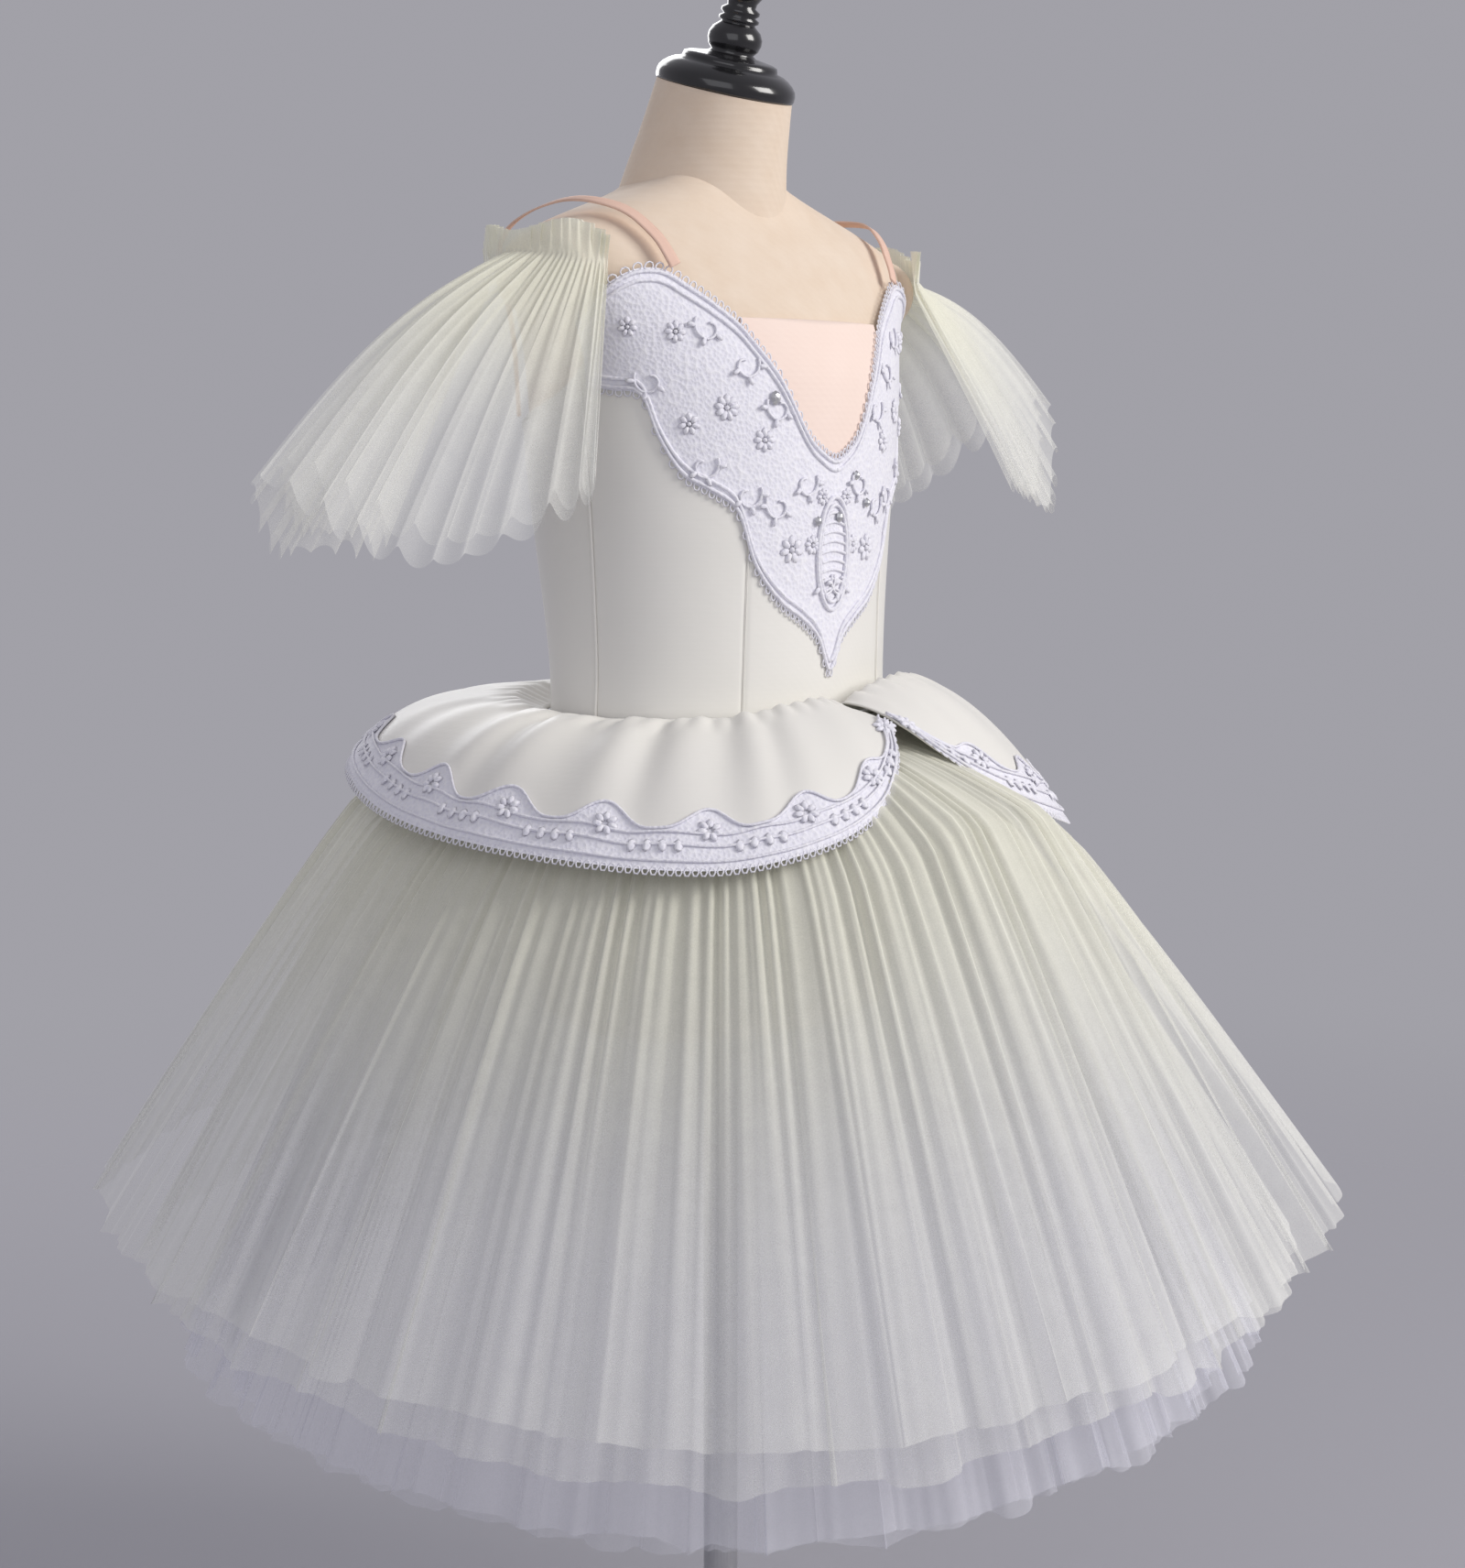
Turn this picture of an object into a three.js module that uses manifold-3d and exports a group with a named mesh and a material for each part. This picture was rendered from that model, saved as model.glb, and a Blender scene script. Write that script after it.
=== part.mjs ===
// Romantic ballet tutu for a child, standing on a limbless dress form.
// Millimetres, +Z up, the floor at z = 0. The wearer's front faces -Y, the wearer's right is at -X.
// Angles round the body are degrees from the centre front, positive toward the wearer's right.
import * as THREE from 'three';
import { mergeVertices } from 'three/addons/utils/BufferGeometryUtils.js';
import Module from 'manifold-3d';

// ---- driving dimensions ----
const WAIST = 620; // floor to waist seam; the tables below give heights from the waist
const SEAM = 0.3; // clear gap between pieces that are sewn or that touch
const EASE = 2; // gap between the form and what it wears
const SATIN = 1.6; // thickness of the bodice, insert and petals
const TULLE = 1.2; // thickness of each tulle layer
const LACE = 1.2; // thickness of lace
const LACE_LIFT = 2; // raised lace stands this far off the satin
const STRAP_WIDTH = 7;
const POLE_RADIUS = 10;
const BASE_RADIUS = 130;
const BASE_HEIGHT = 12;
const NORMAL_STEP = 0.004; // share of a sheet used to find its surface direction

const { degToRad, lerp, clamp } = THREE.MathUtils;

// Level sections of the form: half width, and depth in front and behind.
const FORM_SECTIONS = [
  { z: -176, half: 92, front: 68, back: 78 },
  { z: -168, half: 108, front: 81, back: 91 },
  { z: -146, half: 115, front: 87, back: 98 },
  { z: -105, half: 117, front: 88, back: 100 },
  { z: -65, half: 115, front: 85, back: 96 },
  { z: -30, half: 110.5, front: 79, back: 85 },
  { z: 0, half: 107.5, front: 75.5, back: 77.5 },
  { z: 30, half: 106, front: 76.5, back: 80.5 },
  { z: 67, half: 107.5, front: 77.5, back: 87.5 },
  { z: 110, half: 110.5, front: 79.5, back: 95.5 },
  { z: 150, half: 114.5, front: 80.5, back: 99.5 },
  { z: 185, half: 119, front: 79, back: 99 },
  { z: 205, half: 124, front: 74, back: 97 },
  { z: 225, half: 133, front: 66, back: 94 },
  { z: 240, half: 142, front: 58, back: 91 },
  { z: 250, half: 147, front: 52, back: 88 },
  { z: 257, half: 146, front: 47, back: 86 },
  { z: 263, half: 139, front: 43, back: 83 },
  { z: 269, half: 126, front: 39, back: 80 },
  { z: 275, half: 110, front: 35, back: 77 },
  { z: 281, half: 92, front: 32, back: 74 },
  { z: 288, half: 70, front: 29, back: 71 },
  { z: 295, half: 50, front: 26, back: 67 },
  { z: 303, half: 36, front: 22, back: 62 },
  { z: 309, half: 24, front: 16, back: 54 },
];

// Rings of the neck from inside the shoulders up to the cap: centre, radii and forward tilt.
const NECK_RINGS = [
  { y: 22, z: 252, across: 52, deep: 55, tilt: 24 },
  { y: 12, z: 291, across: 46, deep: 49, tilt: 21.6 },
  { y: 5, z: 320, across: 41.5, deep: 43, tilt: 18 },
  { y: -3, z: 349, across: 38.6, deep: 38.6, tilt: 16 },
];

// Turned cap and finial, radius by height along their own axis.
const CAP_PROFILE = [
  { radius: 0, height: 0 },
  { radius: 39, height: 0 },
  { radius: 39.6, height: 4 },
  { radius: 37, height: 9 },
  { radius: 31, height: 13 },
  { radius: 27, height: 14 },
  { radius: 26.5, height: 17 },
  { radius: 21, height: 18.5 },
  { radius: 12, height: 21 },
  { radius: 15.5, height: 27 },
  { radius: 14, height: 33 },
  { radius: 9.5, height: 37 },
  { radius: 11.5, height: 39 },
  { radius: 9, height: 41 },
  { radius: 11, height: 43.5 },
  { radius: 8, height: 46 },
  { radius: 10, height: 51 },
  { radius: 16, height: 59 },
  { radius: 18.5, height: 67 },
  { radius: 16.5, height: 74 },
  { radius: 9, height: 79 },
  { radius: 0, height: 81 },
];

// Top edge of the bodice round the body, and both edges of the lace laid on its front.
const BODICE_TOP = [
  { angle: 0, z: 142 },
  { angle: 15, z: 155 },
  { angle: 27, z: 184 },
  { angle: 44, z: 213 },
  { angle: 61, z: 233 },
  { angle: 67, z: 239 },
  { angle: 71, z: 234 },
  { angle: 78, z: 214 },
  { angle: 86, z: 190 },
  { angle: 97, z: 176 },
  { angle: 120, z: 165 },
  { angle: 150, z: 157 },
  { angle: 180, z: 154 },
];
const LACE_EDGES = [
  { angle: 0, low: 26, high: 144 },
  { angle: 7, low: 44, high: 148 },
  { angle: 15, low: 54, high: 158 },
  { angle: 27, low: 66, high: 187 },
  { angle: 37, low: 86, high: 205 },
  { angle: 43, low: 114, high: 215 },
  { angle: 52, low: 126, high: 226 },
  { angle: 60, low: 135, high: 235 },
  { angle: 66, low: 154, high: 242 },
  { angle: 70, low: 176, high: 243 },
  { angle: 77, low: 180, high: 235 },
  { angle: 84, low: 182, high: 218 },
];
const SIDE_SEAM = 86; // angle of the seam between front and back
const BACK_OPENING = 179.6; // the back panels meet edge to edge at the centre back
const INSERT_TOP = 218;
const INSERT_SIDE = 42;

// Over-shoulder strap, laid on the form from the front neckline to the back panel.
const STRAP_PATH = [
  { angle: 64, z: 243 },
  { angle: 70, z: 258 },
  { angle: 80, z: 271 },
  { angle: 95, z: 275 },
  { angle: 110, z: 268 },
  { angle: 122, z: 252 },
  { angle: 130, z: 226 },
  { angle: 134, z: 198 },
  { angle: 136, z: 168 },
];

// Each petal of the peplum: reach from the axis, height at its edge, rise at the waist, bend.
const PETAL_ROWS = [
  { angle: 0, reach: 127, edge: 0, rise: 6, bend: 2 },
  { angle: 8, reach: 146, edge: -17, rise: 12, bend: 2 },
  { angle: 18, reach: 168, edge: -38, rise: 14, bend: 2 },
  { angle: 32, reach: 188, edge: -54, rise: 11, bend: 2 },
  { angle: 50, reach: 201, edge: -63, rise: 6, bend: 2 },
  { angle: 80, reach: 209, edge: -55, rise: 5, bend: 2.4 },
  { angle: 105, reach: 211, edge: -43, rise: 8, bend: 3 },
  { angle: 131, reach: 209, edge: -24, rise: 12, bend: 4 },
  { angle: 155, reach: 196, edge: -16, rise: 13, bend: 3.4 },
  { angle: 171, reach: 160, edge: -4, rise: 12, bend: 2.4 },
  { angle: 180, reach: 130, edge: 4, rise: 8, bend: 2 },
];
const LEFT_PETAL_LIFT = 14; // the wearer's left petal puffs up this much more in front
const PETAL_START = 1.4; // angle between the centre line and a petal's side
const PETAL_FOLDS = 13; // soft radiating folds along a petal
const PETAL_FOLD_DEPTH = 1.6;
const TRIM_BAND = 0.13; // share of the petal that the lace edging covers
const TRIM_PEAKS = 11;
const TRIM_PEAK_SHARE = 0.09;

// Tulle layers from the outside in: height where each is sewn on, its knee, its hem,
// how much lower it hangs in front, and the depth of its pleats at the hem.
const SKIRT_LAYERS = [
  { name: 'skirt_layer_outer', top: -7, kneeOut: 203, kneeZ: -44, hemOut: 354, hemZ: -268, dip: 50, pleat: 7 },
  { name: 'skirt_layer_second', top: -15, kneeOut: 190, kneeZ: -58, hemOut: 331, hemZ: -303, dip: 40, pleat: 6.5 },
  { name: 'skirt_layer_third', top: -23, kneeOut: 176, kneeZ: -72, hemOut: 309, hemZ: -352, dip: 26, pleat: 6 },
  { name: 'skirt_layer_inner', top: -31, kneeOut: 162, kneeZ: -86, hemOut: 288, hemZ: -364, dip: 26, pleat: 5.5 },
];
const PETAL_CLEARANCE = 20; // the skirt's knee lies this far under the edge of a low petal
const SKIRT_COLUMNS = 72;
const SKIRT_ROWS = [0, 0.26, 0.52, 1];
const DIP_ANGLE = 45; // the hem hangs lowest at this angle
const DIP_SPREAD = 45;
const BASQUE_BOTTOM = -40;

// Sleeve ruffle of the wearer's right: gathered at the shoulder, its hem fanned out from back
// to front. gatherX and hemX are distances out from the centre plane.
const SLEEVE_ROWS = [
  { share: 0, gatherX: 136, gatherY: 48, gatherZ: 240, hemX: 190, hemY: 80, hemZ: 96 },
  { share: 0.25, gatherX: 150, gatherY: 32, gatherZ: 247, hemX: 262, hemY: 68, hemZ: 96 },
  { share: 0.5, gatherX: 159, gatherY: 4, gatherZ: 251, hemX: 322, hemY: 12, hemZ: 134 },
  { share: 0.75, gatherX: 149, gatherY: -24, gatherZ: 248, hemX: 262, hemY: -44, hemZ: 92 },
  { share: 1, gatherX: 132, gatherY: -37, gatherZ: 245, hemX: 184, hemY: -78, hemZ: 128 },
];
const LEFT_SLEEVE_LIFT = 50; // the wearer's left ruffle stands out higher at its middle
const SLEEVE_COLUMNS = 18;
const SLEEVE_PLEAT = 4.5;
const SLEEVE_LENGTH = 180; // gathers to hem, near enough
const SLEEVE_HEADER = 0.12; // share of the length that stands up above the gathers
const SLEEVE_UNDER = 0.9; // length of the under layer against the upper one
const SLEEVE_GATHER_GAP = 3; // between the two layers at the gathers
const SLEEVE_LAYER_GAP = 8; // and at the hem

// ---- finishes ----
const FINISHES = {
  jersey: { color: 0xe6d6c6, roughness: 0.9, metalness: 0 },
  blackGloss: { color: 0x1b1a1d, roughness: 0.25, metalness: 0 },
  steel: { color: 0xb9babd, roughness: 0.35, metalness: 0.9 },
  ivorySatin: { color: 0xf0efea, roughness: 0.5, metalness: 0 },
  nude: { color: 0xf3e0d6, roughness: 0.8, metalness: 0 },
  lace: { color: 0xf2f1fa, roughness: 0.8, metalness: 0 },
  yellowTulle: { color: 0xf0efd8, roughness: 0.8, metalness: 0 },
  whiteTulle: { color: 0xe9e9f2, roughness: 0.8, metalness: 0 },
};

// ---- tables and surfaces ----

/** Read a table at a value of its key column, straight between rows. */
function rowAt(table, key, value) {
  const last = table.length - 1;
  const wanted = clamp(value, table[0][key], table[last][key]);
  let next = 1;
  while (next < last && table[next][key] < wanted) {
    next += 1;
  }
  const from = table[next - 1];
  const to = table[next];
  const share = (wanted - from[key]) / (to[key] - from[key]);
  const row = {};
  for (const column of Object.keys(from)) {
    if (typeof from[column] === 'number') {
      row[column] = lerp(from[column], to[column], share);
    }
  }
  return row;
}

/** Distance from the axis to the form's skin at an angle and a height. */
function bodyRadius(angle, z) {
  const section = rowAt(FORM_SECTIONS, 'z', z);
  const forward = Math.cos(degToRad(angle));
  const sideways = Math.sin(degToRad(angle));
  const depth = forward > 0 ? section.front : section.back;
  return 1 / Math.hypot(sideways / section.half, forward / depth);
}

/** Point at an angle, a distance from the axis and a height above the waist. */
function polar(angle, radius, z) {
  const turn = degToRad(angle);
  return new THREE.Vector3(-radius * Math.sin(turn), -radius * Math.cos(turn), WAIST + z);
}

/** Point of the form's skin, moved out along the skin's own direction. */
function bodyPoint(angle, z, out) {
  const step = 1.5;
  const here = polar(angle, bodyRadius(angle, z), z);
  const round = polar(angle + step, bodyRadius(angle + step, z), z);
  const back = polar(angle - step, bodyRadius(angle - step, z), z);
  const above = polar(angle, bodyRadius(angle, z + step), z + step);
  const below = polar(angle, bodyRadius(angle, z - step), z - step);
  const direction = round.sub(back).cross(above.sub(below)).normalize();
  const outward = Math.sign(direction.x * here.x + direction.y * here.y) || 1;
  return here.addScaledVector(direction, out * outward);
}

/** Give a sheet two faces: returns a function of side (0 inner, 1 outer), u and v. */
function thicken(sheet, thickness) {
  return (side, u, v) => {
    const alongU = sheet(u + NORMAL_STEP, v).sub(sheet(u - NORMAL_STEP, v));
    const alongV = sheet(u, v + NORMAL_STEP).sub(sheet(u, v - NORMAL_STEP));
    const direction = alongU.cross(alongV).normalize();
    return sheet(u, v).addScaledVector(direction, (side - 0.5) * thickness);
  };
}

/** Signed volume of an indexed triangle list. */
function signedVolume(points, faces) {
  let total = 0;
  for (const [a, b, c] of faces) {
    total += points[a].dot(points[b].clone().cross(points[c]));
  }
  return total / 6;
}

/** Geometry from points and faces, turned so that its faces point outward. */
function geometryFrom(points, faces) {
  const turned = signedVolume(points, faces) < 0;
  const index = faces.flatMap(([a, b, c]) => (turned ? [a, c, b] : [a, b, c]));
  const geometry = new THREE.BufferGeometry();
  geometry.setAttribute('position', new THREE.Float32BufferAttribute(points.flatMap((p) => p.toArray()), 3));
  geometry.setIndex(index);
  geometry.computeVertexNormals();
  return geometry;
}

/** Closed wall over a grid of u and v shares; a ring joins its first and last columns. */
function wall(place, us, vs, ring = false) {
  const points = [];
  const faces = [];
  const perSide = us.length * vs.length;
  for (const side of [0, 1]) {
    for (const u of us) {
      for (const v of vs) {
        points.push(place(side, u, v));
      }
    }
  }
  const at = (side, column, row) => side * perSide + (column % us.length) * vs.length + row;
  const quad = (a, b, c, d) => faces.push([a, b, c], [a, c, d]);
  const spans = ring ? us.length : us.length - 1;
  const top = vs.length - 1;
  for (let i = 0; i < spans; i += 1) {
    for (let j = 0; j < top; j += 1) {
      quad(at(1, i, j), at(1, i + 1, j), at(1, i + 1, j + 1), at(1, i, j + 1));
      quad(at(0, i, j), at(0, i, j + 1), at(0, i + 1, j + 1), at(0, i + 1, j));
    }
    quad(at(0, i, 0), at(0, i + 1, 0), at(1, i + 1, 0), at(1, i, 0));
    quad(at(1, i, top), at(1, i + 1, top), at(0, i + 1, top), at(0, i, top));
  }
  if (!ring) {
    const end = us.length - 1;
    for (let j = 0; j < top; j += 1) {
      quad(at(0, 0, j), at(1, 0, j), at(1, 0, j + 1), at(0, 0, j + 1));
      quad(at(1, end, j), at(0, end, j), at(0, end, j + 1), at(1, end, j + 1));
    }
  }
  return geometryFrom(points, faces);
}

/** Solid through closed rings of points, with a flat fan at each end. */
function loft(rings) {
  const count = rings[0].length;
  const points = rings.flat();
  const faces = [];
  for (let k = 0; k < rings.length - 1; k += 1) {
    for (let i = 0; i < count; i += 1) {
      const a = k * count + i;
      const b = k * count + ((i + 1) % count);
      faces.push([a, b, b + count], [a, b + count, a + count]);
    }
  }
  for (const [ring, flip] of [[0, true], [rings.length - 1, false]]) {
    const centre = points.length;
    points.push(rings[ring].reduce((sum, p) => sum.add(p), new THREE.Vector3()).divideScalar(count));
    for (let i = 0; i < count; i += 1) {
      const a = ring * count + i;
      const b = ring * count + ((i + 1) % count);
      faces.push(flip ? [centre, b, a] : [centre, a, b]);
    }
  }
  return geometryFrom(points, faces);
}

/** Evenly spaced shares from 0 to 1, or the angles of a ring without its last column. */
function shares(count, ring = false) {
  return Array.from({ length: ring ? count : count + 1 }, (_, i) => i / count);
}

// ---- joining and cutting ----
const manifold = await Module();
manifold.setup();

/** Turn a closed geometry into a solid that can be cut. */
function toSolid(geometry) {
  const bare = geometry.clone();
  bare.deleteAttribute('normal');
  bare.deleteAttribute('uv');
  const merged = mergeVertices(bare, 1e-4);
  return new manifold.Manifold(new manifold.Mesh({
    numProp: 3,
    vertProperties: new Float32Array(merged.attributes.position.array),
    triVerts: new Uint32Array(merged.index.array),
  }));
}

/** Turn a solid back into a geometry. */
function fromSolid(solid) {
  const mesh = solid.getMesh();
  const geometry = new THREE.BufferGeometry();
  geometry.setAttribute('position', new THREE.Float32BufferAttribute(mesh.vertProperties, 3));
  geometry.setIndex(new THREE.Uint32BufferAttribute(mesh.triVerts, 1));
  geometry.computeVertexNormals();
  return geometry;
}

// ---- the group and its pieces ----
const tutu = new THREE.Group();

/** Add one named piece to the group. */
function addPiece(name, geometry, finish) {
  const piece = new THREE.Mesh(geometry, new THREE.MeshStandardMaterial(FINISHES[finish]));
  piece.name = name;
  tutu.add(piece);
  return piece;
}

/** Torso of the form, optionally grown to cut clearance into its neighbours. */
function torsoGeometry(grow) {
  const ringSides = 36;
  const rings = FORM_SECTIONS.map(({ z }) => {
    const lift = z === FORM_SECTIONS.at(-1).z ? grow : 0;
    return shares(ringSides, true).map((share) => {
      const angle = share * 360;
      return polar(angle, bodyRadius(angle, z) + grow, z + lift);
    });
  });
  return loft(rings);
}

/** Neck: leaning rings from inside the shoulders up to the cap. */
function neckGeometry() {
  const sides = 32;
  const rings = NECK_RINGS.map(({ y, z, across, deep, tilt }, k) => {
    const lean = degToRad(tilt);
    const drop = k === NECK_RINGS.length - 1 ? SEAM : 0;
    return shares(sides, true).map((share) => {
      const turn = share * 2 * Math.PI;
      const away = deep * Math.sin(turn);
      return new THREE.Vector3(
        across * Math.cos(turn),
        y + away * Math.cos(lean) + drop * Math.sin(lean),
        WAIST + z + away * Math.sin(lean) - drop * Math.cos(lean),
      );
    });
  });
  return loft(rings);
}

/** The form: torso, neck, turned cap with finial, arm caps. */
function buildForm() {
  addPiece('form_torso', torsoGeometry(0), 'jersey');
  const grownTorso = toSolid(torsoGeometry(SEAM));
  addPiece('form_neck', fromSolid(toSolid(neckGeometry()).subtract(grownTorso)), 'jersey');

  const capSides = 28;
  const rim = NECK_RINGS.at(-1);
  const cap = new THREE.LatheGeometry(CAP_PROFILE.map((p) => new THREE.Vector2(p.radius, p.height)), capSides);
  cap.rotateX(Math.PI / 2);
  const capPiece = addPiece('form_cap_finial', cap, 'blackGloss');
  capPiece.rotation.x = degToRad(rim.tilt);
  capPiece.position.set(0, rim.y, WAIST + rim.z);

  const armCap = { x: 139, y: 4, z: 241, thick: 10, deep: 32, tall: 22 };
  for (const [name, side] of [['form_arm_cap_right', -1], ['form_arm_cap_left', 1]]) {
    const ball = new THREE.SphereGeometry(1, 20, 12);
    ball.scale(armCap.thick, armCap.deep, armCap.tall);
    ball.translate(side * armCap.x, armCap.y, WAIST + armCap.z);
    addPiece(name, fromSolid(toSolid(ball).subtract(grownTorso)), 'jersey');
  }
}

/** The stand under the form: collar, pole and round base. */
function buildStand() {
  const collarHeight = 26;
  const collarRadius = 24;
  const sides = 32;
  const torsoBottom = WAIST + FORM_SECTIONS[0].z;
  const turned = (name, profile, finish) => {
    const geometry = new THREE.LatheGeometry(profile.map(([r, z]) => new THREE.Vector2(r, z)), sides);
    geometry.rotateX(Math.PI / 2);
    addPiece(name, geometry, finish);
  };
  const collarTop = torsoBottom - SEAM;
  const collarBottom = collarTop - collarHeight;
  turned('stand_collar', [
    [0, collarBottom],
    [POLE_RADIUS + 5, collarBottom],
    [collarRadius, collarBottom + 8],
    [collarRadius, collarTop],
    [0, collarTop],
  ], 'steel');
  turned('stand_pole', [
    [0, BASE_HEIGHT + SEAM],
    [POLE_RADIUS, BASE_HEIGHT + SEAM],
    [POLE_RADIUS, collarBottom - SEAM],
    [0, collarBottom - SEAM],
  ], 'steel');
  turned('stand_base', [
    [0, 0],
    [BASE_RADIUS, 0],
    [BASE_RADIUS, 5],
    [BASE_RADIUS - 4, 8],
    [POLE_RADIUS + 12, BASE_HEIGHT],
    [0, BASE_HEIGHT],
  ], 'steel');
}

/** A panel laid on the form between two angles, from a low edge to a high edge. */
function bodyPanel(name, finish, fromAngle, toAngle, columns, rows, low, high, inner, thickness) {
  const place = (side, u, v) => {
    const angle = lerp(fromAngle, toAngle, u);
    return bodyPoint(angle, lerp(low(angle), high(angle), v), inner + side * thickness);
  };
  addPiece(name, wall(place, columns, rows), finish);
}

/** The bodice: front, two backs, nude insert, lace and straps. */
function buildBodice() {
  const waistEdge = () => SEAM;
  const topEdge = (angle) => rowAt(BODICE_TOP, 'angle', Math.abs(angle)).z;
  const rows = shares(8);
  const tableShares = (angles, reach) => [
    ...angles.filter((a) => a > 0 && a <= reach).reverse().map((a) => 0.5 - a / (2 * reach)),
    0.5,
    ...angles.filter((a) => a > 0 && a <= reach).map((a) => 0.5 + a / (2 * reach)),
  ];
  const frontAngles = [7.5, 15, 21, 27, 35.5, 44, 52.5, 61, 67, 71, 78, SIDE_SEAM];
  bodyPanel('bodice_front', 'ivorySatin', -SIDE_SEAM, SIDE_SEAM, tableShares(frontAngles, SIDE_SEAM), rows,
    waistEdge, topEdge, EASE, SATIN);
  const sideGap = 0.25;
  for (const [name, side] of [['bodice_back_right', 1], ['bodice_back_left', -1]]) {
    bodyPanel(name, 'ivorySatin', side * (SIDE_SEAM + sideGap), side * BACK_OPENING, shares(10), shares(6),
      waistEdge, topEdge, EASE, SATIN);
  }
  const insertAngles = [8, 15, 21, 27, 35, INSERT_SIDE];
  bodyPanel('neck_insert', 'nude', -INSERT_SIDE, INSERT_SIDE, tableShares(insertAngles, INSERT_SIDE), shares(2),
    (angle) => topEdge(angle) + 2 * SEAM, () => INSERT_TOP, EASE, SATIN - SEAM);

  const laceAngles = LACE_EDGES.map((row) => row.angle);
  const laceReach = laceAngles.at(-1);
  bodyPanel('lace_applique', 'lace', -laceReach, laceReach, tableShares(laceAngles, laceReach), shares(3),
    (angle) => rowAt(LACE_EDGES, 'angle', Math.abs(angle)).low,
    (angle) => rowAt(LACE_EDGES, 'angle', Math.abs(angle)).high,
    EASE + SATIN + LACE_LIFT, LACE);

  const strapOut = EASE + SATIN + LACE_LIFT + LACE + 2 * SEAM;
  const path = new THREE.CatmullRomCurve3(STRAP_PATH.map(({ angle, z }) => bodyPoint(angle, z, strapOut)));
  for (const [name, side] of [['strap_right', 1], ['strap_left', -1]]) {
    const place = (face, u, v) => {
      const point = path.getPoint(u);
      const tangent = path.getTangent(u);
      const outward = new THREE.Vector3(point.x, point.y * 0.4, point.z - WAIST - 180).normalize();
      const across = tangent.clone().cross(outward).normalize();
      point.addScaledVector(across, (v - 0.5) * STRAP_WIDTH);
      point.addScaledVector(outward, face * TULLE);
      point.x *= side;
      return point;
    };
    addPiece(name, wall(place, shares(14), [0, 1]), 'nude');
  }
}

/** Surface of one petal: u runs round the body, v from the waist to the edge. */
function petalSurface(side) {
  return (u, v) => {
    const angle = lerp(PETAL_START, 180 - PETAL_START, u);
    const row = rowAt(PETAL_ROWS, 'angle', angle);
    const lift = side < 0 ? LEFT_PETAL_LIFT * Math.exp(-(((angle - 38) / 26) ** 2)) : 0;
    const start = bodyRadius(angle, 0) + EASE + SATIN + 3 * SEAM + SATIN;
    const radius = lerp(start, row.reach, v);
    const risen = row.rise + lift;
    const swell = Math.min(1, v * 6);
    const fold = PETAL_FOLD_DEPTH * Math.sin(Math.PI * v) * Math.cos(u * PETAL_FOLDS * 2 * Math.PI);
    const z = 3 + (risen - 3) * swell - (risen - row.edge) * Math.max(0, v) ** row.bend + fold;
    return polar(side * angle, radius, z);
  };
}

/** The peplum: a petal on each side and the lace edging laid on each. */
function buildPeplum() {
  for (const [name, side] of [['right', 1], ['left', -1]]) {
    const sheet = petalSurface(side);
    const faceUp = thicken(sheet, SATIN);
    const upSide = side > 0 ? 1 : 0;
    addPiece(`peplum_petal_${name}`, wall(faceUp, shares(22), [0, 0.17, 0.45, 0.72, 1]), 'ivorySatin');
    const edging = (face, u, v) => {
      const peak = Math.abs(Math.cos(u * TRIM_PEAKS * Math.PI)) ** 3 * TRIM_PEAK_SHARE;
      const along = lerp(1 - TRIM_BAND - peak, 1.025, v);
      const top = faceUp(upSide, u, along);
      const under = faceUp(1 - upSide, u, along);
      const outward = top.clone().sub(under).normalize();
      return top.addScaledVector(outward, 2 * SEAM + face * LACE);
    };
    addPiece(`peplum_lace_${name}`, wall(edging, shares(TRIM_PEAKS * 2), [0, 0.6, 1]), 'lace');
  }
}

/** Surface of one tulle layer: u goes round, v from the basque to the hem. */
function skirtSurface({ top, kneeOut, kneeZ, hemOut, hemZ, dip, pleat }) {
  return (u, v) => {
    const angle = u * 360;
    const fromFront = Math.abs(((angle + 540) % 360) - 180);
    const petalEdge = rowAt(PETAL_ROWS, 'angle', fromFront).edge;
    const knee = kneeZ + Math.min(0, petalEdge - PETAL_CLEARANCE - SKIRT_LAYERS[0].kneeZ);
    const off = ((angle - DIP_ANGLE + 540) % 360) - 180;
    const hem = hemZ - dip * Math.exp(-((off / DIP_SPREAD) ** 2));
    const start = bodyRadius(angle, top) + EASE + SATIN + 2 * SEAM + TULLE;
    const bendShare = 0.26;
    let radius;
    let z;
    if (v < bendShare) {
      const share = v / bendShare;
      radius = lerp(start, kneeOut, share);
      z = lerp(top, knee, Math.max(0, share) ** 1.6);
    } else {
      const share = (v - bendShare) / (1 - bendShare);
      radius = lerp(kneeOut, hemOut, share ** 0.93);
      z = lerp(knee, hem, share);
    }
    const depth = pleat * Math.max(0, v - 0.05) ** 0.8 * (0.8 + 0.2 * Math.cos(6 * degToRad(angle)));
    return polar(angle, radius + depth * Math.cos((u * SKIRT_COLUMNS) * Math.PI), z);
  };
}

/** The skirt: a basque round the hips and the tulle layers sewn on it. */
function buildSkirt() {
  const basque = (side, u, v) => bodyPoint(u * 360, lerp(BASQUE_BOTTOM, -SEAM, v), EASE + side * SATIN);
  addPiece('basque', wall(basque, shares(36, true), [0, 0.5, 1], true), 'ivorySatin');
  SKIRT_LAYERS.forEach((layer, order) => {
    const colour = order < 2 ? 'yellowTulle' : 'whiteTulle';
    addPiece(layer.name, wall(thicken(skirtSurface(layer), TULLE), shares(SKIRT_COLUMNS, true), SKIRT_ROWS, true),
      colour);
  });
}

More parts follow.
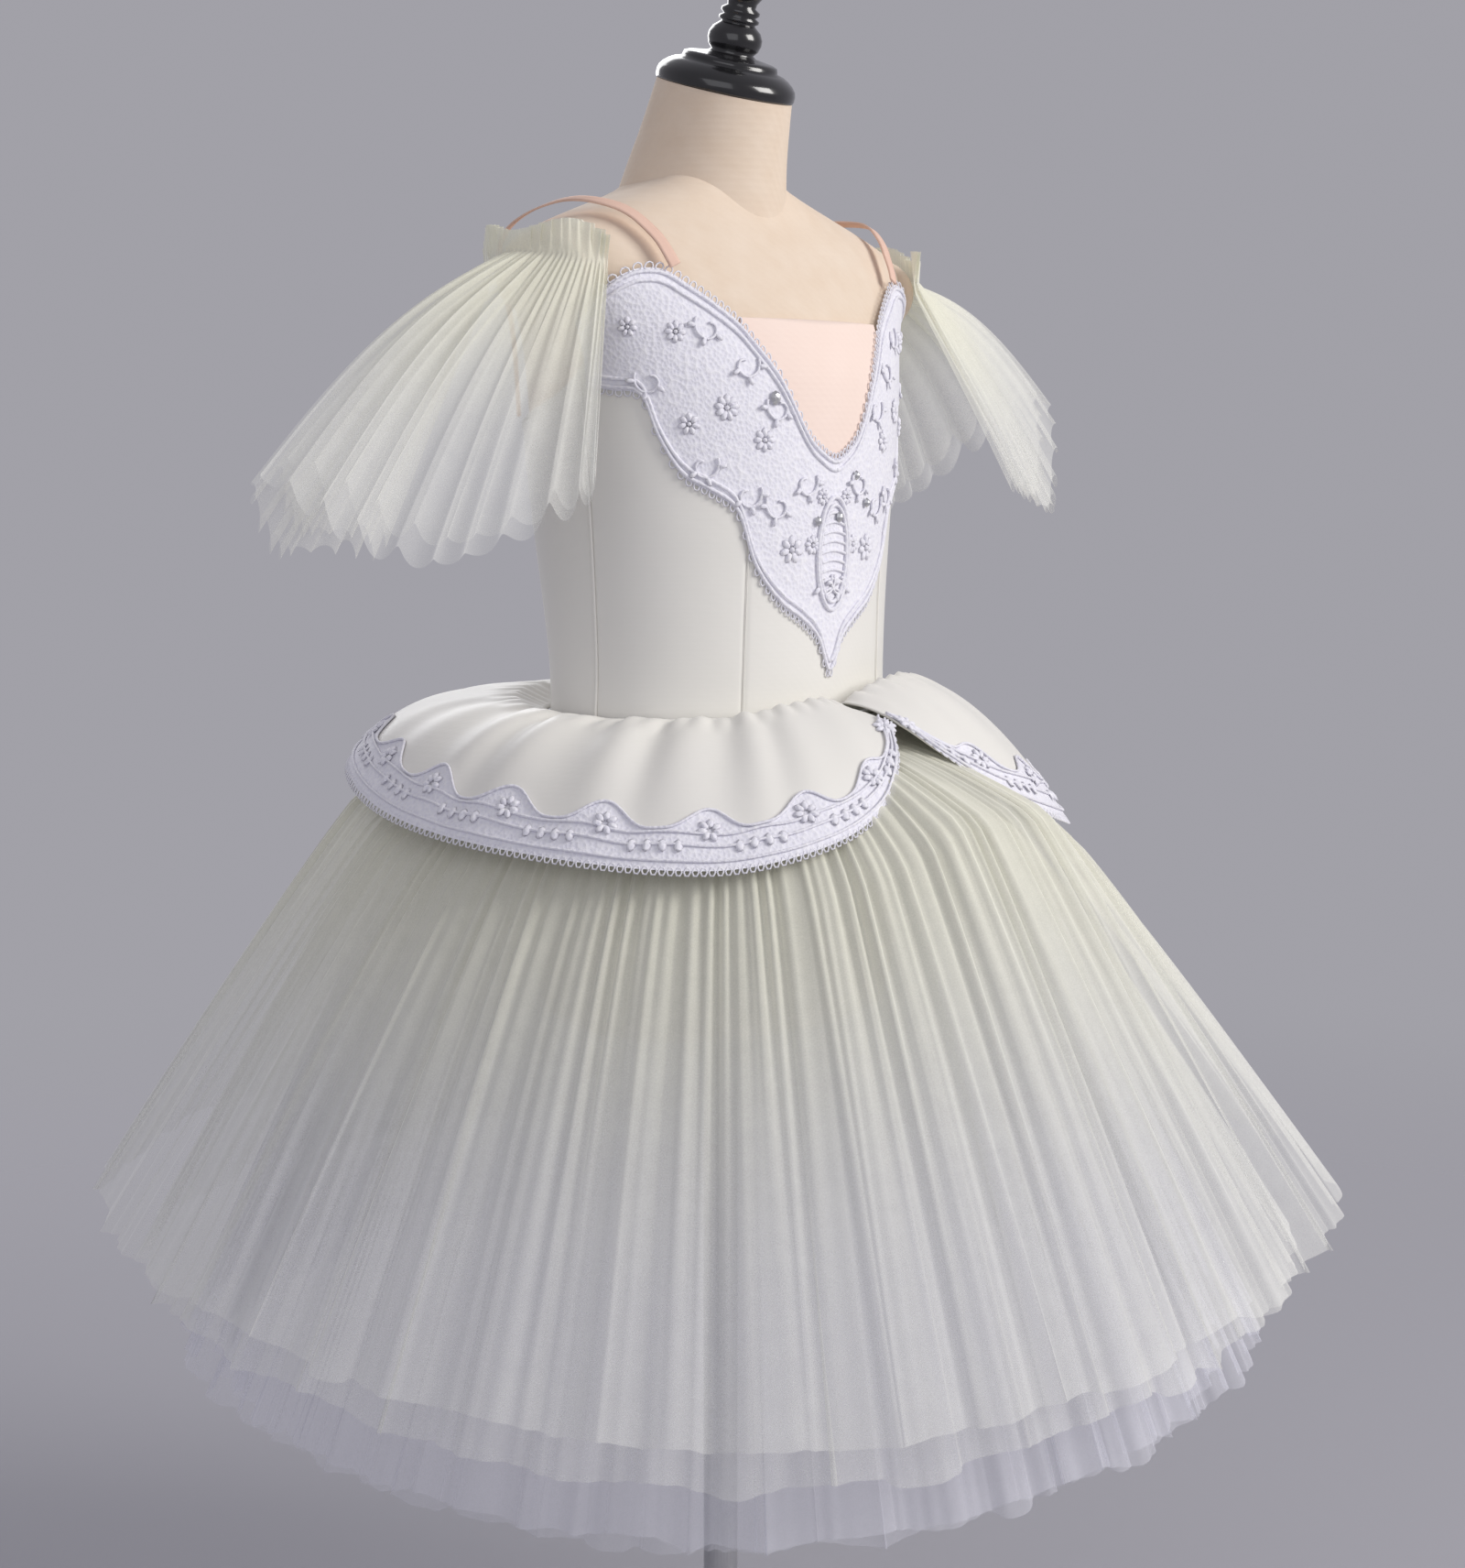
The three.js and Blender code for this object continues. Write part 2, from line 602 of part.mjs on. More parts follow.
/** Surface of one sleeve ruffle layer: u from back to front, v from the gathers to the hem. */
function sleeveSurface(side, length, gatherInset, hemInset) {
  return (u, v) => {
    const row = rowAt(SLEEVE_ROWS, 'share', u);
    const middle = Math.sin(Math.PI * clamp(u, 0, 1));
    const lift = side > 0 ? LEFT_SLEEVE_LIFT * middle ** 2 : 0;
    const gather = new THREE.Vector3(row.gatherX - gatherInset, row.gatherY, row.gatherZ - gatherInset);
    const hem = new THREE.Vector3(row.hemX, row.hemY, row.hemZ + lift);
    const reach = v * length;
    const point = gather.clone().lerp(hem, reach);
    const wave = SLEEVE_PLEAT * clamp(v, 0, 1) * Math.cos(u * SLEEVE_COLUMNS * Math.PI);
    point.z += 16 * Math.sin(Math.PI * clamp(reach, 0, 1)) * middle + wave - hemInset * clamp(v, 0, 1);
    if (v < 0) {
      point.z = row.gatherZ - v * SLEEVE_LENGTH;
    }
    return new THREE.Vector3(side * point.x, point.y, WAIST + point.z);
  };
}

/** The ruffles: an upper and an under layer of tulle on each shoulder. */
function buildSleeves() {
  for (const [name, side] of [['right', -1], ['left', 1]]) {
    const upper = thicken(sleeveSurface(side, 1, 0, 0), TULLE);
    const underSheet = sleeveSurface(side, SLEEVE_UNDER, SLEEVE_GATHER_GAP, SLEEVE_LAYER_GAP);
    const under = thicken(underSheet, TULLE);
    addPiece(`sleeve_${name}_upper`, wall(upper, shares(SLEEVE_COLUMNS), [-SLEEVE_HEADER, 0, 0.4, 1]), 'yellowTulle');
    addPiece(`sleeve_${name}_under`, wall(under, shares(SLEEVE_COLUMNS), [0.06, 0.4, 1]), 'yellowTulle');
  }
}

buildForm();
buildStand();
buildBodice();
buildPeplum();
buildSkirt();
buildSleeves();

export default tutu;
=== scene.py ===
"""Looks of a child's romantic ballet tutu on a limbless dress form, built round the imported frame."""
import logging
import math
import random
from dataclasses import dataclass
from enum import Enum
from typing import Callable, Sequence

import bpy
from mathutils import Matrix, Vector


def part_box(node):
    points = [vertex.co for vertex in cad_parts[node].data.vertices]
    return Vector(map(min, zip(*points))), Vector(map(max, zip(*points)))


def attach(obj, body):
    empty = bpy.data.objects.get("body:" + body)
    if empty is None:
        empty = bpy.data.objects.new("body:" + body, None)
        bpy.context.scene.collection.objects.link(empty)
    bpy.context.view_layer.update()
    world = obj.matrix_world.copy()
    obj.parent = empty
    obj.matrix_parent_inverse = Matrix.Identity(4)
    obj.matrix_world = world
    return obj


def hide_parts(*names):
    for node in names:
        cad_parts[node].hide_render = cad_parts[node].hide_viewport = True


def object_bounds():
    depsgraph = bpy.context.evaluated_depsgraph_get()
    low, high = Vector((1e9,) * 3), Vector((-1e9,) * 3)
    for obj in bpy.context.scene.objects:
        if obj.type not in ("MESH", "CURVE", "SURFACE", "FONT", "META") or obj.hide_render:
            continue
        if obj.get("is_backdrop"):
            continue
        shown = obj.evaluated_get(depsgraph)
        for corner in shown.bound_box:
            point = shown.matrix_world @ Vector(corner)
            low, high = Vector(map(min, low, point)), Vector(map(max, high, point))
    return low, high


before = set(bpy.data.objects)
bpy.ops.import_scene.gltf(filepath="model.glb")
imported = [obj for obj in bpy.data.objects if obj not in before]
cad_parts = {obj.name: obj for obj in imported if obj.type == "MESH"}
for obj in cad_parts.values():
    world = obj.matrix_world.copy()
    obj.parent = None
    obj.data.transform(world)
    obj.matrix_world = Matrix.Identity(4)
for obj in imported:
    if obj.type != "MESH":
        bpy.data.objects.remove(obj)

CAD_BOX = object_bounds()
LOG = logging.getLogger("tutu")
MM = 0.001
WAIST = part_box("bodice_front")[0][2] - 0.3 * MM
EASE = 2.0
SATIN_OUT = EASE + 1.6
LACE_OUT = SATIN_OUT + 1.2
Sheet = Callable[[float, float], Vector]

# height from the waist, half width, depth in front, depth behind
FORM_SECTIONS = (
    (-176, 92, 68, 78), (-168, 108, 81, 91), (-146, 115, 87, 98), (-105, 117, 88, 100),
    (-65, 115, 85, 96),
    (-30, 110.5, 79, 85), (0, 107.5, 75.5, 77.5), (30, 106, 76.5, 80.5), (67, 107.5, 77.5, 87.5),
    (110, 110.5, 79.5, 95.5), (150, 114.5, 80.5, 99.5), (185, 119, 79, 99), (205, 124, 74, 97),
    (225, 133, 66, 94), (240, 142, 58, 91), (250, 147, 52, 88), (257, 146, 47, 86), (263, 139, 43, 83),
    (269, 126, 39, 80), (275, 110, 35, 77), (281, 92, 32, 74), (288, 70, 29, 71), (295, 50, 26, 67),
    (303, 36, 22, 62), (309, 24, 16, 54),
)
# angle, height of the bodice's top edge
BODICE_TOP = ((0, 142), (15, 155), (27, 184), (44, 213), (61, 233), (67, 239), (71, 234), (78, 214),
              (86, 190), (97, 176), (120, 165), (150, 157), (180, 154))
# angle, low edge and high edge of the lace
LACE_EDGES = ((0, 26, 144), (7, 44, 148), (15, 54, 158), (27, 66, 187), (37, 86, 205), (43, 114, 215),
              (52, 126, 226), (60, 135, 235), (66, 154, 242), (70, 176, 243), (77, 180, 235), (84, 182, 218))
# angle, reach from the axis, height at the edge, rise at the waist, bend
PETAL_ROWS = ((0, 127, 0, 6, 2), (8, 146, -17, 12, 2), (18, 168, -38, 14, 2), (32, 188, -54, 11, 2),
              (50, 201, -63, 6, 2), (80, 209, -55, 5, 2.4), (105, 211, -43, 8, 3), (131, 209, -24, 12, 4),
              (155, 196, -16, 13, 3.4), (171, 160, -4, 12, 2.4), (180, 130, 4, 8, 2))
# share, gather x y z, hem x y z
SLEEVE_ROWS = ((0, 136, 48, 240, 190, 80, 96), (0.25, 150, 32, 247, 262, 68, 96),
               (0.5, 159, 4, 251, 322, 12, 134), (0.75, 149, -24, 248, 262, -44, 92),
               (1, 132, -37, 245, 184, -78, 128))
# angle and height along a strap, front to back
STRAP_PATH = ((64, 243), (70, 258), (80, 271), (95, 275), (110, 268), (122, 252), (130, 226), (134, 198),
              (136, 168))


class Finish(Enum):
    """Finishes that the pieces wear."""

    JERSEY = "jersey"
    BLACK = "black_gloss"
    STEEL = "steel"
    SATIN = "ivory_satin"
    NUDE = "nude_mesh"
    ELASTIC = "nude_elastic"
    LACE = "guipure_lace"
    YELLOW = "yellow_tulle"
    WHITE = "white_tulle"


def smooth_row(table: Sequence[Sequence[float]], value: float) -> list[float]:
    """Read a table at a value of its first column on a smooth curve through its rows.

    Args:
        table: rows sorted by their first column.
        value: where to read it.

    Returns:
        The other columns at that value.
    """
    last = len(table) - 1
    value = min(max(value, table[0][0]), table[last][0])
    k = 0
    while k < last - 1 and table[k + 1][0] < value:
        k += 1
    low, high = table[k], table[k + 1]
    span = high[0] - low[0]
    t = (value - low[0]) / span
    before, after = table[max(0, k - 1)], table[min(last, k + 2)]
    out = []
    for c in range(1, len(low)):
        slope_low = (high[c] - before[c]) / (high[0] - before[0]) * span
        slope_high = (after[c] - low[c]) / (after[0] - low[0]) * span
        if (high[c] - low[c]) * (low[c] - before[c]) <= 0:
            slope_low = 0.0
        if (after[c] - high[c]) * (high[c] - low[c]) <= 0:
            slope_high = 0.0
        h00, h10 = 2 * t**3 - 3 * t * t + 1, t**3 - 2 * t * t + t
        h01, h11 = -2 * t**3 + 3 * t * t, t**3 - t * t
        out.append(h00 * low[c] + h10 * slope_low + h01 * high[c] + h11 * slope_high)
    return out


def polar(angle: float, radius: float, z: float) -> Vector:
    """Point at an angle, a distance from the axis and a height above the waist, in millimetres."""
    turn = math.radians(angle)
    return Vector((-radius * math.sin(turn) * MM, -radius * math.cos(turn) * MM, WAIST + z * MM))


def body_radius(angle: float, z: float) -> float:
    """Distance from the axis to the form's skin, in millimetres."""
    half, front, back = smooth_row(FORM_SECTIONS, z)
    forward, sideways = math.cos(math.radians(angle)), math.sin(math.radians(angle))
    return 1 / math.hypot(sideways / half, forward / (front if forward > 0 else back))


def body_point(angle: float, z: float, out: float) -> Vector:
    """Point of the form's skin moved out along the skin's own direction, in millimetres."""
    step = 1.5

    def skin(turn: float, height: float) -> Vector:
        """Point of the form's skin."""
        return polar(turn, body_radius(turn, height), height)

    around = skin(angle + step, z) - skin(angle - step, z)
    up = skin(angle, z + step) - skin(angle, z - step)
    here = skin(angle, z)
    direction = around.cross(up).normalized()
    if direction.x * here.x + direction.y * here.y < 0:
        direction.negate()
    return here + direction * (out * MM)


def deselect() -> None:
    """Deselect everything and leave edit mode."""
    if bpy.context.object and bpy.context.object.mode != "OBJECT":
        bpy.ops.object.mode_set(mode="OBJECT")
    bpy.ops.object.select_all(action="DESELECT")


def make_object(name: str, points: Sequence[Vector], faces: Sequence[Sequence[int]],
                uvs: Sequence[tuple[float, float]] | None = None) -> bpy.types.Object:
    """Make a mesh object, smooth shaded, with a UV map where each point has a place in it.

    Args:
        name: the piece's name.
        points: its points in metres.
        faces: its faces.
        uvs: a place in the UV map for each point.

    Returns:
        The object, linked to the scene.
    """
    mesh = bpy.data.meshes.new(name)
    mesh.from_pydata([p[:] for p in points], [], faces)
    mesh.update()
    if uvs is not None:
        layer = mesh.uv_layers.new(name="UVMap")
        for loop in mesh.loops:
            layer.data[loop.index].uv = uvs[loop.vertex_index]
    mesh.polygons.foreach_set("use_smooth", [True] * len(mesh.polygons))
    piece = bpy.data.objects.new(name, mesh)
    bpy.context.scene.collection.objects.link(piece)
    return piece


def sheet_object(name: str, place: Sheet, columns: int, rows: int, ring: bool = False) -> bpy.types.Object:
    """Make a sheet over a grid: u runs across its columns and v up its rows.

    Args:
        name: the piece's name.
        place: the point at u and v, each from 0 to 1.
        columns: spaces across.
        rows: spaces up.
        ring: join the last column to the first.

    Returns:
        The sheet.
    """
    across = columns if ring else columns + 1
    points, uvs = [], []
    for i in range(across):
        for j in range(rows + 1):
            u, v = i / columns, j / rows
            points.append(place(u, v))
            uvs.append((u, v))
    faces = []
    for i in range(columns):
        a, b = i * (rows + 1), ((i + 1) % across) * (rows + 1)
        for j in range(rows):
            faces.append((a + j, b + j, b + j + 1, a + j + 1))
    return make_object(name, points, faces, uvs)


def tube_parts(path: Sequence[Vector], radius: float, sides: int = 6,
               closed: bool = False) -> tuple[list[Vector], list[tuple[int, ...]]]:
    """Points and faces of a cord along a path, for joining with others.

    Args:
        path: centre line in metres.
        radius: in millimetres.
        sides: sides of the section.
        closed: join the ends.

    Returns:
        Points and faces.
    """
    points, faces, count = [], [], len(path)
    for k, here in enumerate(path):
        after = path[(k + 1) % count] if closed or k < count - 1 else here
        before = path[k - 1] if closed or k > 0 else here
        tangent = (after - before).normalized()
        outward = Vector((here.x, here.y, 0)).normalized()
        across = tangent.cross(outward).normalized()
        normal = across.cross(tangent).normalized()
        for s in range(sides):
            turn = 2 * math.pi * s / sides
            points.append(here + (across * math.cos(turn) + normal * math.sin(turn)) * radius * MM)
    spans = count if closed else count - 1
    for k in range(spans):
        a, b = k * sides, ((k + 1) % count) * sides
        for s in range(sides):
            t = (s + 1) % sides
            faces.append((a + s, a + t, b + t, b + s))
    if not closed:
        faces.append(tuple(reversed(range(sides))))
        faces.append(tuple((count - 1) * sides + s for s in range(sides)))
    return points, faces


@dataclass
class Heap:
    """Many small shapes gathered into one mesh."""

    points: list[Vector]
    faces: list[tuple[int, ...]]

    def add(self, part: tuple[list[Vector], list[tuple[int, ...]]]) -> None:
        """Add one shape's points and faces."""
        base = len(self.points)
        self.points.extend(part[0])
        self.faces.extend(tuple(base + i for i in face) for face in part[1])

    def cord(self, path: Sequence[Vector], radius: float, sides: int = 6, closed: bool = False) -> None:
        """Add a cord along a path."""
        self.add(tube_parts(path, radius, sides, closed))

    def bead(self, centre: Vector, out: Vector, along: Vector, length: float, width: float,
             height: float) -> None:
        """Add a low dome: a leaf, petal or knot lying on the cloth.

        Args:
            centre: its middle, in metres.
            out: direction off the cloth.
            along: direction of its length.
            length: in millimetres.
            width: in millimetres.
            height: in millimetres.
        """
        side = out.cross(along).normalized()
        points, faces = [centre + out * height * MM], []
        sides = 8
        for ring, (reach, lift) in enumerate(((0.6, 0.75), (1.0, 0.0))):
            for s in range(sides):
                turn = 2 * math.pi * s / sides
                points.append(centre + along * math.cos(turn) * length * reach * MM * 0.5
                              + side * math.sin(turn) * width * reach * MM * 0.5 + out * height * lift * MM)
            for s in range(sides):
                t = (s + 1) % sides
                if ring == 0:
                    faces.append((0, 1 + s, 1 + t))
                else:
                    faces.append((1 + s, 1 + sides + s, 1 + sides + t, 1 + t))
        faces.append(tuple(1 + sides + s for s in reversed(range(sides))))
        self.add((points, faces))

    def build(self, name: str) -> bpy.types.Object:
        """Make the heap one object."""
        return make_object(name, self.points, self.faces)


class Socket:
    """A shader value that can be added, multiplied and subtracted."""

    def __init__(self, tree: bpy.types.NodeTree, link: bpy.types.NodeSocket) -> None:
        """Wrap an output socket of a tree."""
        self.tree, self.link = tree, link

    def _math(self, operation: str, a: object, b: object) -> "Socket":
        """Add one Math node."""
        node = self.tree.nodes.new("ShaderNodeMath")
        node.operation = operation
        for slot, value in enumerate((a, b)):
            if isinstance(value, Socket):
                self.tree.links.new(value.link, node.inputs[slot])
            else:
                node.inputs[slot].default_value = value
        return Socket(self.tree, node.outputs[0])

    def __add__(self, other: object) -> "Socket":
        """Sum."""
        return self._math("ADD", self, other)

    def __mul__(self, other: object) -> "Socket":
        """Product."""
        return self._math("MULTIPLY", self, other)

    def __sub__(self, other: object) -> "Socket":
        """Difference."""
        return self._math("SUBTRACT", self, other)

    def __rsub__(self, other: object) -> "Socket":
        """Difference from a number."""
        return self._math("SUBTRACT", other, self)

    def __pow__(self, other: object) -> "Socket":
        """Power."""
        return self._math("POWER", self, other)

    __radd__ = __add__
    __rmul__ = __mul__

    def least(self, other: object) -> "Socket":
        """Smaller of two values."""
        return self._math("MINIMUM", self, other)


@dataclass
class Shader:
    """A material with one Principled surface."""

    finish: Finish

    def __post_init__(self) -> None:
        """Start the material's node tree."""
        self.material = bpy.data.materials.new(self.finish.value)
        self.material.use_nodes = True
        self.tree = self.material.node_tree
        self.surface = self.tree.nodes["Principled BSDF"]

    def node(self, kind: str, settings: dict[str, object] | None = None,
             values: dict[str, object] | None = None, out: int | str = 0) -> Socket:
        """Add a node.

        Args:
            kind: node type.
            settings: its own settings.
            values: values or links of its sockets.
            out: which output to give back.

        Returns:
            That output.
        """
        node = self.tree.nodes.new(kind)
        for key, value in (settings or {}).items():
            setattr(node, key, value)
        for key, value in (values or {}).items():
            self.plug(node.inputs[key], value)
        return Socket(self.tree, node.outputs[out])

    def plug(self, socket: bpy.types.NodeSocket, value: object) -> None:
        """Set a socket to a value or link it."""
        if isinstance(value, Socket):
            self.tree.links.new(value.link, socket)
        else:
            socket.default_value = value

    def set(self, **values: object) -> None:
        """Set sockets of the surface; an underscore stands for a space."""
        for key, value in values.items():
            self.plug(self.surface.inputs[key.replace("_", " ")], value)

    def coords(self, uv: bool = False) -> Socket:
        """Object coordinates, or the piece's own UV map."""
        return self.node("ShaderNodeTexCoord", out="UV" if uv else "Object")

    def noise(self, scale: float, detail: float = 3.0) -> Socket:
        """Noise at a scale."""
        return self.node("ShaderNodeTexNoise", {},
                         {"Vector": self.coords(), "Scale": scale, "Detail": detail})

    def mix(self, factor: object, a: Sequence[float], b: Sequence[float]) -> Socket:
        """Mix two colours."""
        node = self.tree.nodes.new("ShaderNodeMix")
        node.data_type = "RGBA"
        self.plug(node.inputs[0], factor)
        self.plug(node.inputs[6], a)
        self.plug(node.inputs[7], b)
        return Socket(self.tree, node.outputs[2])

    def bump(self, height: Socket, distance: float, strength: float = 1.0) -> None:
        """Bump the surface's normal."""
        normal = self.node("ShaderNodeBump", {},
                           {"Height": height, "Distance": distance, "Strength": strength})
        self.set(Normal=normal)

    def weave(self, pitch: float) -> Socket:
        """Crossed threads at a pitch in metres, on object coordinates."""
        bands = [self.node("ShaderNodeTexWave", {"bands_direction": way},
                           {"Vector": self.coords(), "Scale": 0.314 / pitch * 0.16, "Distortion": 0.6,
                            "Detail": 1.0}, out="Fac") for way in ("Z", "DIAGONAL")]
        return bands[0] * 0.5 + bands[1] * 0.5


@dataclass(frozen=True)
class Wardrobe:
    """All the finishes of the tutu and its form."""

    ivory: tuple[float, float, float, float] = (0.83, 0.81, 0.77, 1)
    lace_white: tuple[float, float, float, float] = (0.88, 0.87, 0.91, 1)

    def jersey(self) -> bpy.types.Material:
        """Undyed linen jersey, mottled."""
        s = Shader(Finish.JERSEY)
        s.set(Base_Color=s.mix(s.noise(60.0) * 0.8, (0.80, 0.68, 0.56, 1), (0.70, 0.55, 0.41, 1)),
              Roughness=0.9, Sheen_Weight=0.15)
        s.bump(s.weave(0.0006) + s.noise(900.0) * 0.5, 0.0002, 0.5)
        return s.material

    def black(self) -> bpy.types.Material:
        """Black gloss lacquer on turned wood."""
        s = Shader(Finish.BLACK)
        s.set(Base_Color=s.mix(s.noise(30.0), (0.006, 0.006, 0.007, 1), (0.012, 0.011, 0.012, 1)),
              Roughness=s.noise(120.0) * 0.1 + 0.16, Coat_Weight=0.6, Coat_Roughness=0.08)
        return s.material

    def steel(self) -> bpy.types.Material:
        """Brushed steel."""
        s = Shader(Finish.STEEL)
        s.set(Base_Color=s.mix(s.noise(200.0), (0.52, 0.52, 0.54, 1), (0.62, 0.62, 0.63, 1)), Metallic=0.85,
              Roughness=s.noise(400.0) * 0.15 + 0.32)
        return s.material

    def satin(self) -> bpy.types.Material:
        """Ivory stretch satin with a soft sheen and faint ripples."""
        s = Shader(Finish.SATIN)
        s.set(Base_Color=s.mix(s.noise(9.0), self.ivory, (0.79, 0.775, 0.72, 1)),
              Roughness=s.noise(35.0) * 0.14 + 0.36, Sheen_Weight=0.25, Sheen_Roughness=0.4)
        s.bump(s.noise(24.0, 2.0) + s.weave(0.0004) * 0.05, 0.0012, 0.35)
        return s.material

    def nude(self) -> bpy.types.Material:
        """Fine nude mesh."""
        s = Shader(Finish.NUDE)
        s.set(Base_Color=s.mix(s.noise(40.0), (0.90, 0.74, 0.66, 1), (0.86, 0.69, 0.60, 1)), Roughness=0.85,
              Sheen_Weight=0.2)
        s.bump(s.weave(0.0005), 0.00015, 0.5)
        return s.material

    def elastic(self) -> bpy.types.Material:
        """Narrow nude elastic."""
        s = Shader(Finish.ELASTIC)
        s.set(Base_Color=s.mix(s.noise(80.0), (0.80, 0.56, 0.45, 1), (0.74, 0.50, 0.40, 1)), Roughness=0.8)
        s.bump(s.weave(0.0008), 0.0003, 0.6)
        return s.material

    def lace(self) -> bpy.types.Material:
        """White guipure threads, with painted lavender shade in the hollows between them."""
        s = Shader(Finish.LACE)
        cells = s.node("ShaderNodeTexVoronoi", {}, {"Vector": s.coords(), "Scale": 420.0}, out="Distance")
        # painted shade: lavender where the cells are low (the bumped hollows), lace white on the raised
        # threads
        s.set(Base_Color=s.mix(cells, (0.76, 0.75, 0.84, 1), self.lace_white), Roughness=0.75,
              Sheen_Weight=0.3)
        s.bump(cells + s.noise(1500.0) * 0.3, 0.0006, 0.8)
        return s.material

    def tulle(self, finish: Finish, colour: Sequence[float], pale: Sequence[float], top: float,
              hem: float) -> bpy.types.Material:
        """Sheer net: closed near the gathers, more open toward the hem, closed where seen edge on.

        Args:
            finish: which tulle.
            colour: colour near the gathers.
            pale: colour near the hem.
            top: cover near the gathers.
            hem: cover near the hem.

        Returns:
            The material.
        """
        s = Shader(finish)
        split = s.node("ShaderNodeSeparateXYZ", {}, {0: s.coords(uv=True)}, out=1)
        fall = s.node("ShaderNodeMapRange", {"interpolation_type": "SMOOTHSTEP"},
                      {0: split, 1: 0.1, 2: 0.85, 3: 1.0, 4: 0.0})
        facing = s.node("ShaderNodeLayerWeight", {}, {"Blend": 0.35}, out="Facing")
        grain = s.noise(1400.0, 2.0) * 0.16 + s.noise(90.0, 2.0) * 0.10 - 0.13
        cover = fall * (top - hem) + hem + facing ** 2.0 * 0.45 + grain
        s.set(Base_Color=s.mix(fall, pale, colour), Roughness=0.85, Alpha=cover.least(0.97), Sheen_Weight=0.4,
              Sheen_Roughness=0.5)
        return s.material

    def make(self) -> dict[Finish, bpy.types.Material]:
        """Make every finish.

        Returns:
            The materials by finish.
        """
        return {
            Finish.JERSEY: self.jersey(), Finish.BLACK: self.black(), Finish.STEEL: self.steel(),
            Finish.SATIN: self.satin(), Finish.NUDE: self.nude(), Finish.ELASTIC: self.elastic(),
            Finish.LACE: self.lace(),
            Finish.YELLOW: self.tulle(Finish.YELLOW, (0.88, 0.87, 0.74, 1), (0.88, 0.88, 0.84, 1),
                                      0.60, 0.26),
            Finish.WHITE: self.tulle(Finish.WHITE, (0.88, 0.88, 0.86, 1), (0.84, 0.84, 0.93, 1),
                                     0.5, 0.2),
        }


@dataclass
class Piece:
    """Ties made objects to the frame."""

    finishes: dict[Finish, bpy.types.Material]

    def dress(self, piece: bpy.types.Object, finish: Finish,
              nodes: Sequence[str] = ()) -> bpy.types.Object:
        """Give a piece its finish, its body and the nodes that it stands for.

        Args:
            piece: the made object.
            finish: its finish.
            nodes: CAD nodes that it stands for.

        Returns:
            The piece.
        """
        piece.data.materials.clear()
        piece.data.materials.append(self.finishes[finish])
        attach(piece, "root")
        for node in nodes:
            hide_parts(node)
        LOG.info("%s: %d faces, %s", piece.name, len(piece.data.polygons), finish.value)
        return piece

    def flip_outward(self, piece: bpy.types.Object) -> None:
        """Turn a closed piece's faces outward."""
        deselect()
        piece.select_set(True)
        bpy.context.view_layer.objects.active = piece
        bpy.ops.object.mode_set(mode="EDIT")
        bpy.ops.mesh.select_all(action="SELECT")
        bpy.ops.mesh.remove_doubles(threshold=1e-6)
        bpy.ops.mesh.normals_make_consistent(inside=False)
        bpy.ops.object.mode_set(mode="OBJECT")

    def face_away_from_axis(self, piece: bpy.types.Object) -> None:
        """Turn a tube's faces over where its first face looks inward."""
        first = piece.data.polygons[0]
        if first.normal.dot(first.center) < 0:
            piece.data.flip_normals()

    def solidify(self, piece: bpy.types.Object, thickness: float) -> None:
        """Give a sheet a thickness in millimetres, inward from its outer face."""
        layer = piece.modifiers.new("cloth", "SOLIDIFY")
        layer.thickness = thickness * MM
        layer.offset = -1


